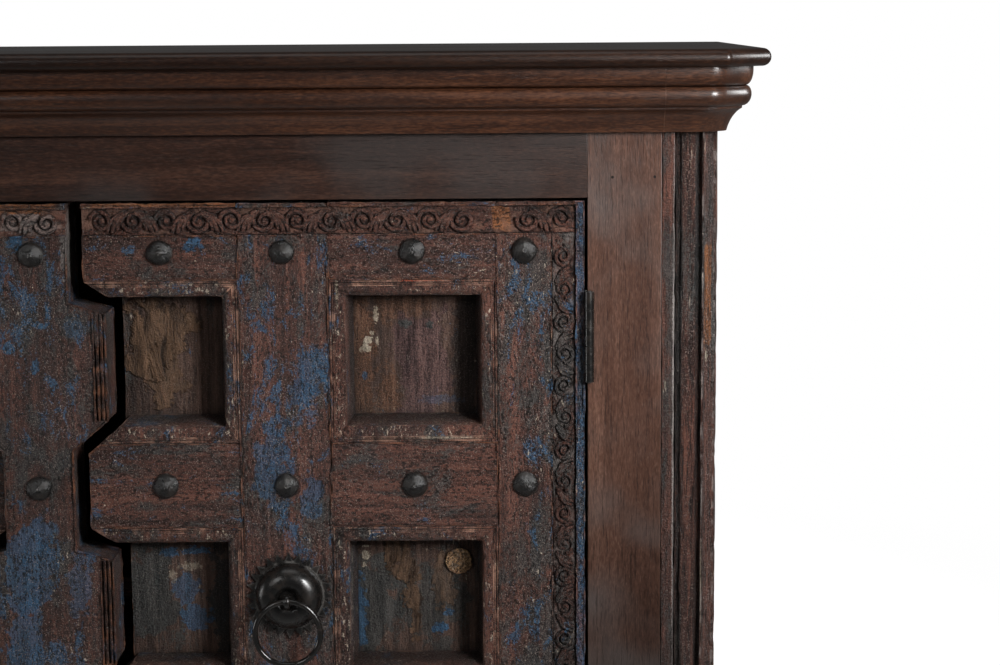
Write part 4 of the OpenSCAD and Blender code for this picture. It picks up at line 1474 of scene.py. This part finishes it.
def makeFloor(look):
    material, tree = startMaterial("paleFloor")
    camera = put(tree, "ShaderNodeLightPath").outputs["Is Camera Ray"]
    lit = put(tree, "ShaderNodeAddShader")
    tree.links.new(put(tree, "ShaderNodeBsdfDiffuse", Color=look["floor"]).outputs[0], lit.inputs[0])
    tree.links.new(mixShaders(tree, camera, glow(tree, 0), glow(tree, look["glow"])), lit.inputs[1])
    # far from the sideboard the floor runs out into the white of the backdrop
    edge = between(tree, lengthOf(tree, place(tree)), look["near"], look["far"])
    faded = mixShaders(tree, sums(tree, "MULTIPLY", edge, camera), lit.outputs[0], glow(tree, 1))
    put(tree, "ShaderNodeOutputMaterial", Surface=faded)
    dropAll()
    bpy.ops.mesh.primitive_plane_add(size=look["wide"], location=(0, 0, 0))
    floor = bpy.context.object
    floor.name = "floor"
    floor.data.materials.append(material)


def makeRoom(look):
    # white to the camera, and a dim room to the light and to what the wood and iron mirror
    world = bpy.data.worlds.new("room")
    bpy.context.scene.world = world
    world.use_nodes = True
    tree = world.node_tree
    tree.nodes.clear()
    path = put(tree, "ShaderNodeLightPath").outputs
    seen = sums(tree, "MAXIMUM", path["Is Camera Ray"], path["Is Transmission Ray"])
    strength = between(tree, seen, 0, 1, look["room"], 1)
    shade = put(tree, "ShaderNodeBackground", Color=(1, 1, 1), Strength=strength)
    put(tree, "ShaderNodeOutputWorld", Surface=shade.outputs[0])


lamps = {
    "key": {"place": (1.3, -1.35, 1.2), "aim": (0.45, -0.2, 0.85),
            "size": (0.4, 0.55), "power": 7, "spread": 70},
    "fill": {"place": (-0.9, -2.1, 1.5), "aim": (0.15, -0.1, 0.75),
             "size": (0.4, 0.5), "power": 1.2, "spread": 70},
    "side": {"place": (2.0, 0.1, 1.2), "aim": (0.6, -0.1, 0.9),
             "size": (0.3, 0.5), "power": 2.0, "spread": 70},
    "back": {"place": (0.0, 2.6, 0.6), "aim": (0.0, 0.2, 0.5),
             "size": (1.8, 0.7), "power": 14, "spread": 90},
    "flank": {"place": (-2.6, 0.2, 0.5), "aim": (-0.6, 0.1, 0.5),
              "size": (1.8, 0.7), "power": 8, "spread": 80},
    "top": {"place": (0.2, -0.6, 3.0), "aim": (0.1, -0.1, 0.9),
            "size": (1.6, 1.2), "power": 4, "spread": 120},
}


def makeLamps():
    for name, look in lamps.items():
        data = bpy.data.lights.new(name, "AREA")
        data.shape = "RECTANGLE"
        data.size, data.size_y = look["size"]
        data.energy = look["power"]
        data.spread = math.radians(look["spread"])
        lamp = bpy.data.objects.new(name, data)
        bpy.context.scene.collection.objects.link(lamp)
        lamp.location = look["place"]
        lamp.rotation_euler = (Vector(look["aim"]) - lamp.location).to_track_quat("-Z", "Y").to_euler()


setCamera(cameraLook)
makeFloor(stageLook)
makeRoom(stageLook)
makeLamps()
for guide in grainGuides.values():
    bpy.data.objects.remove(guide)
bpy.context.scene.view_settings.view_transform = "Standard"
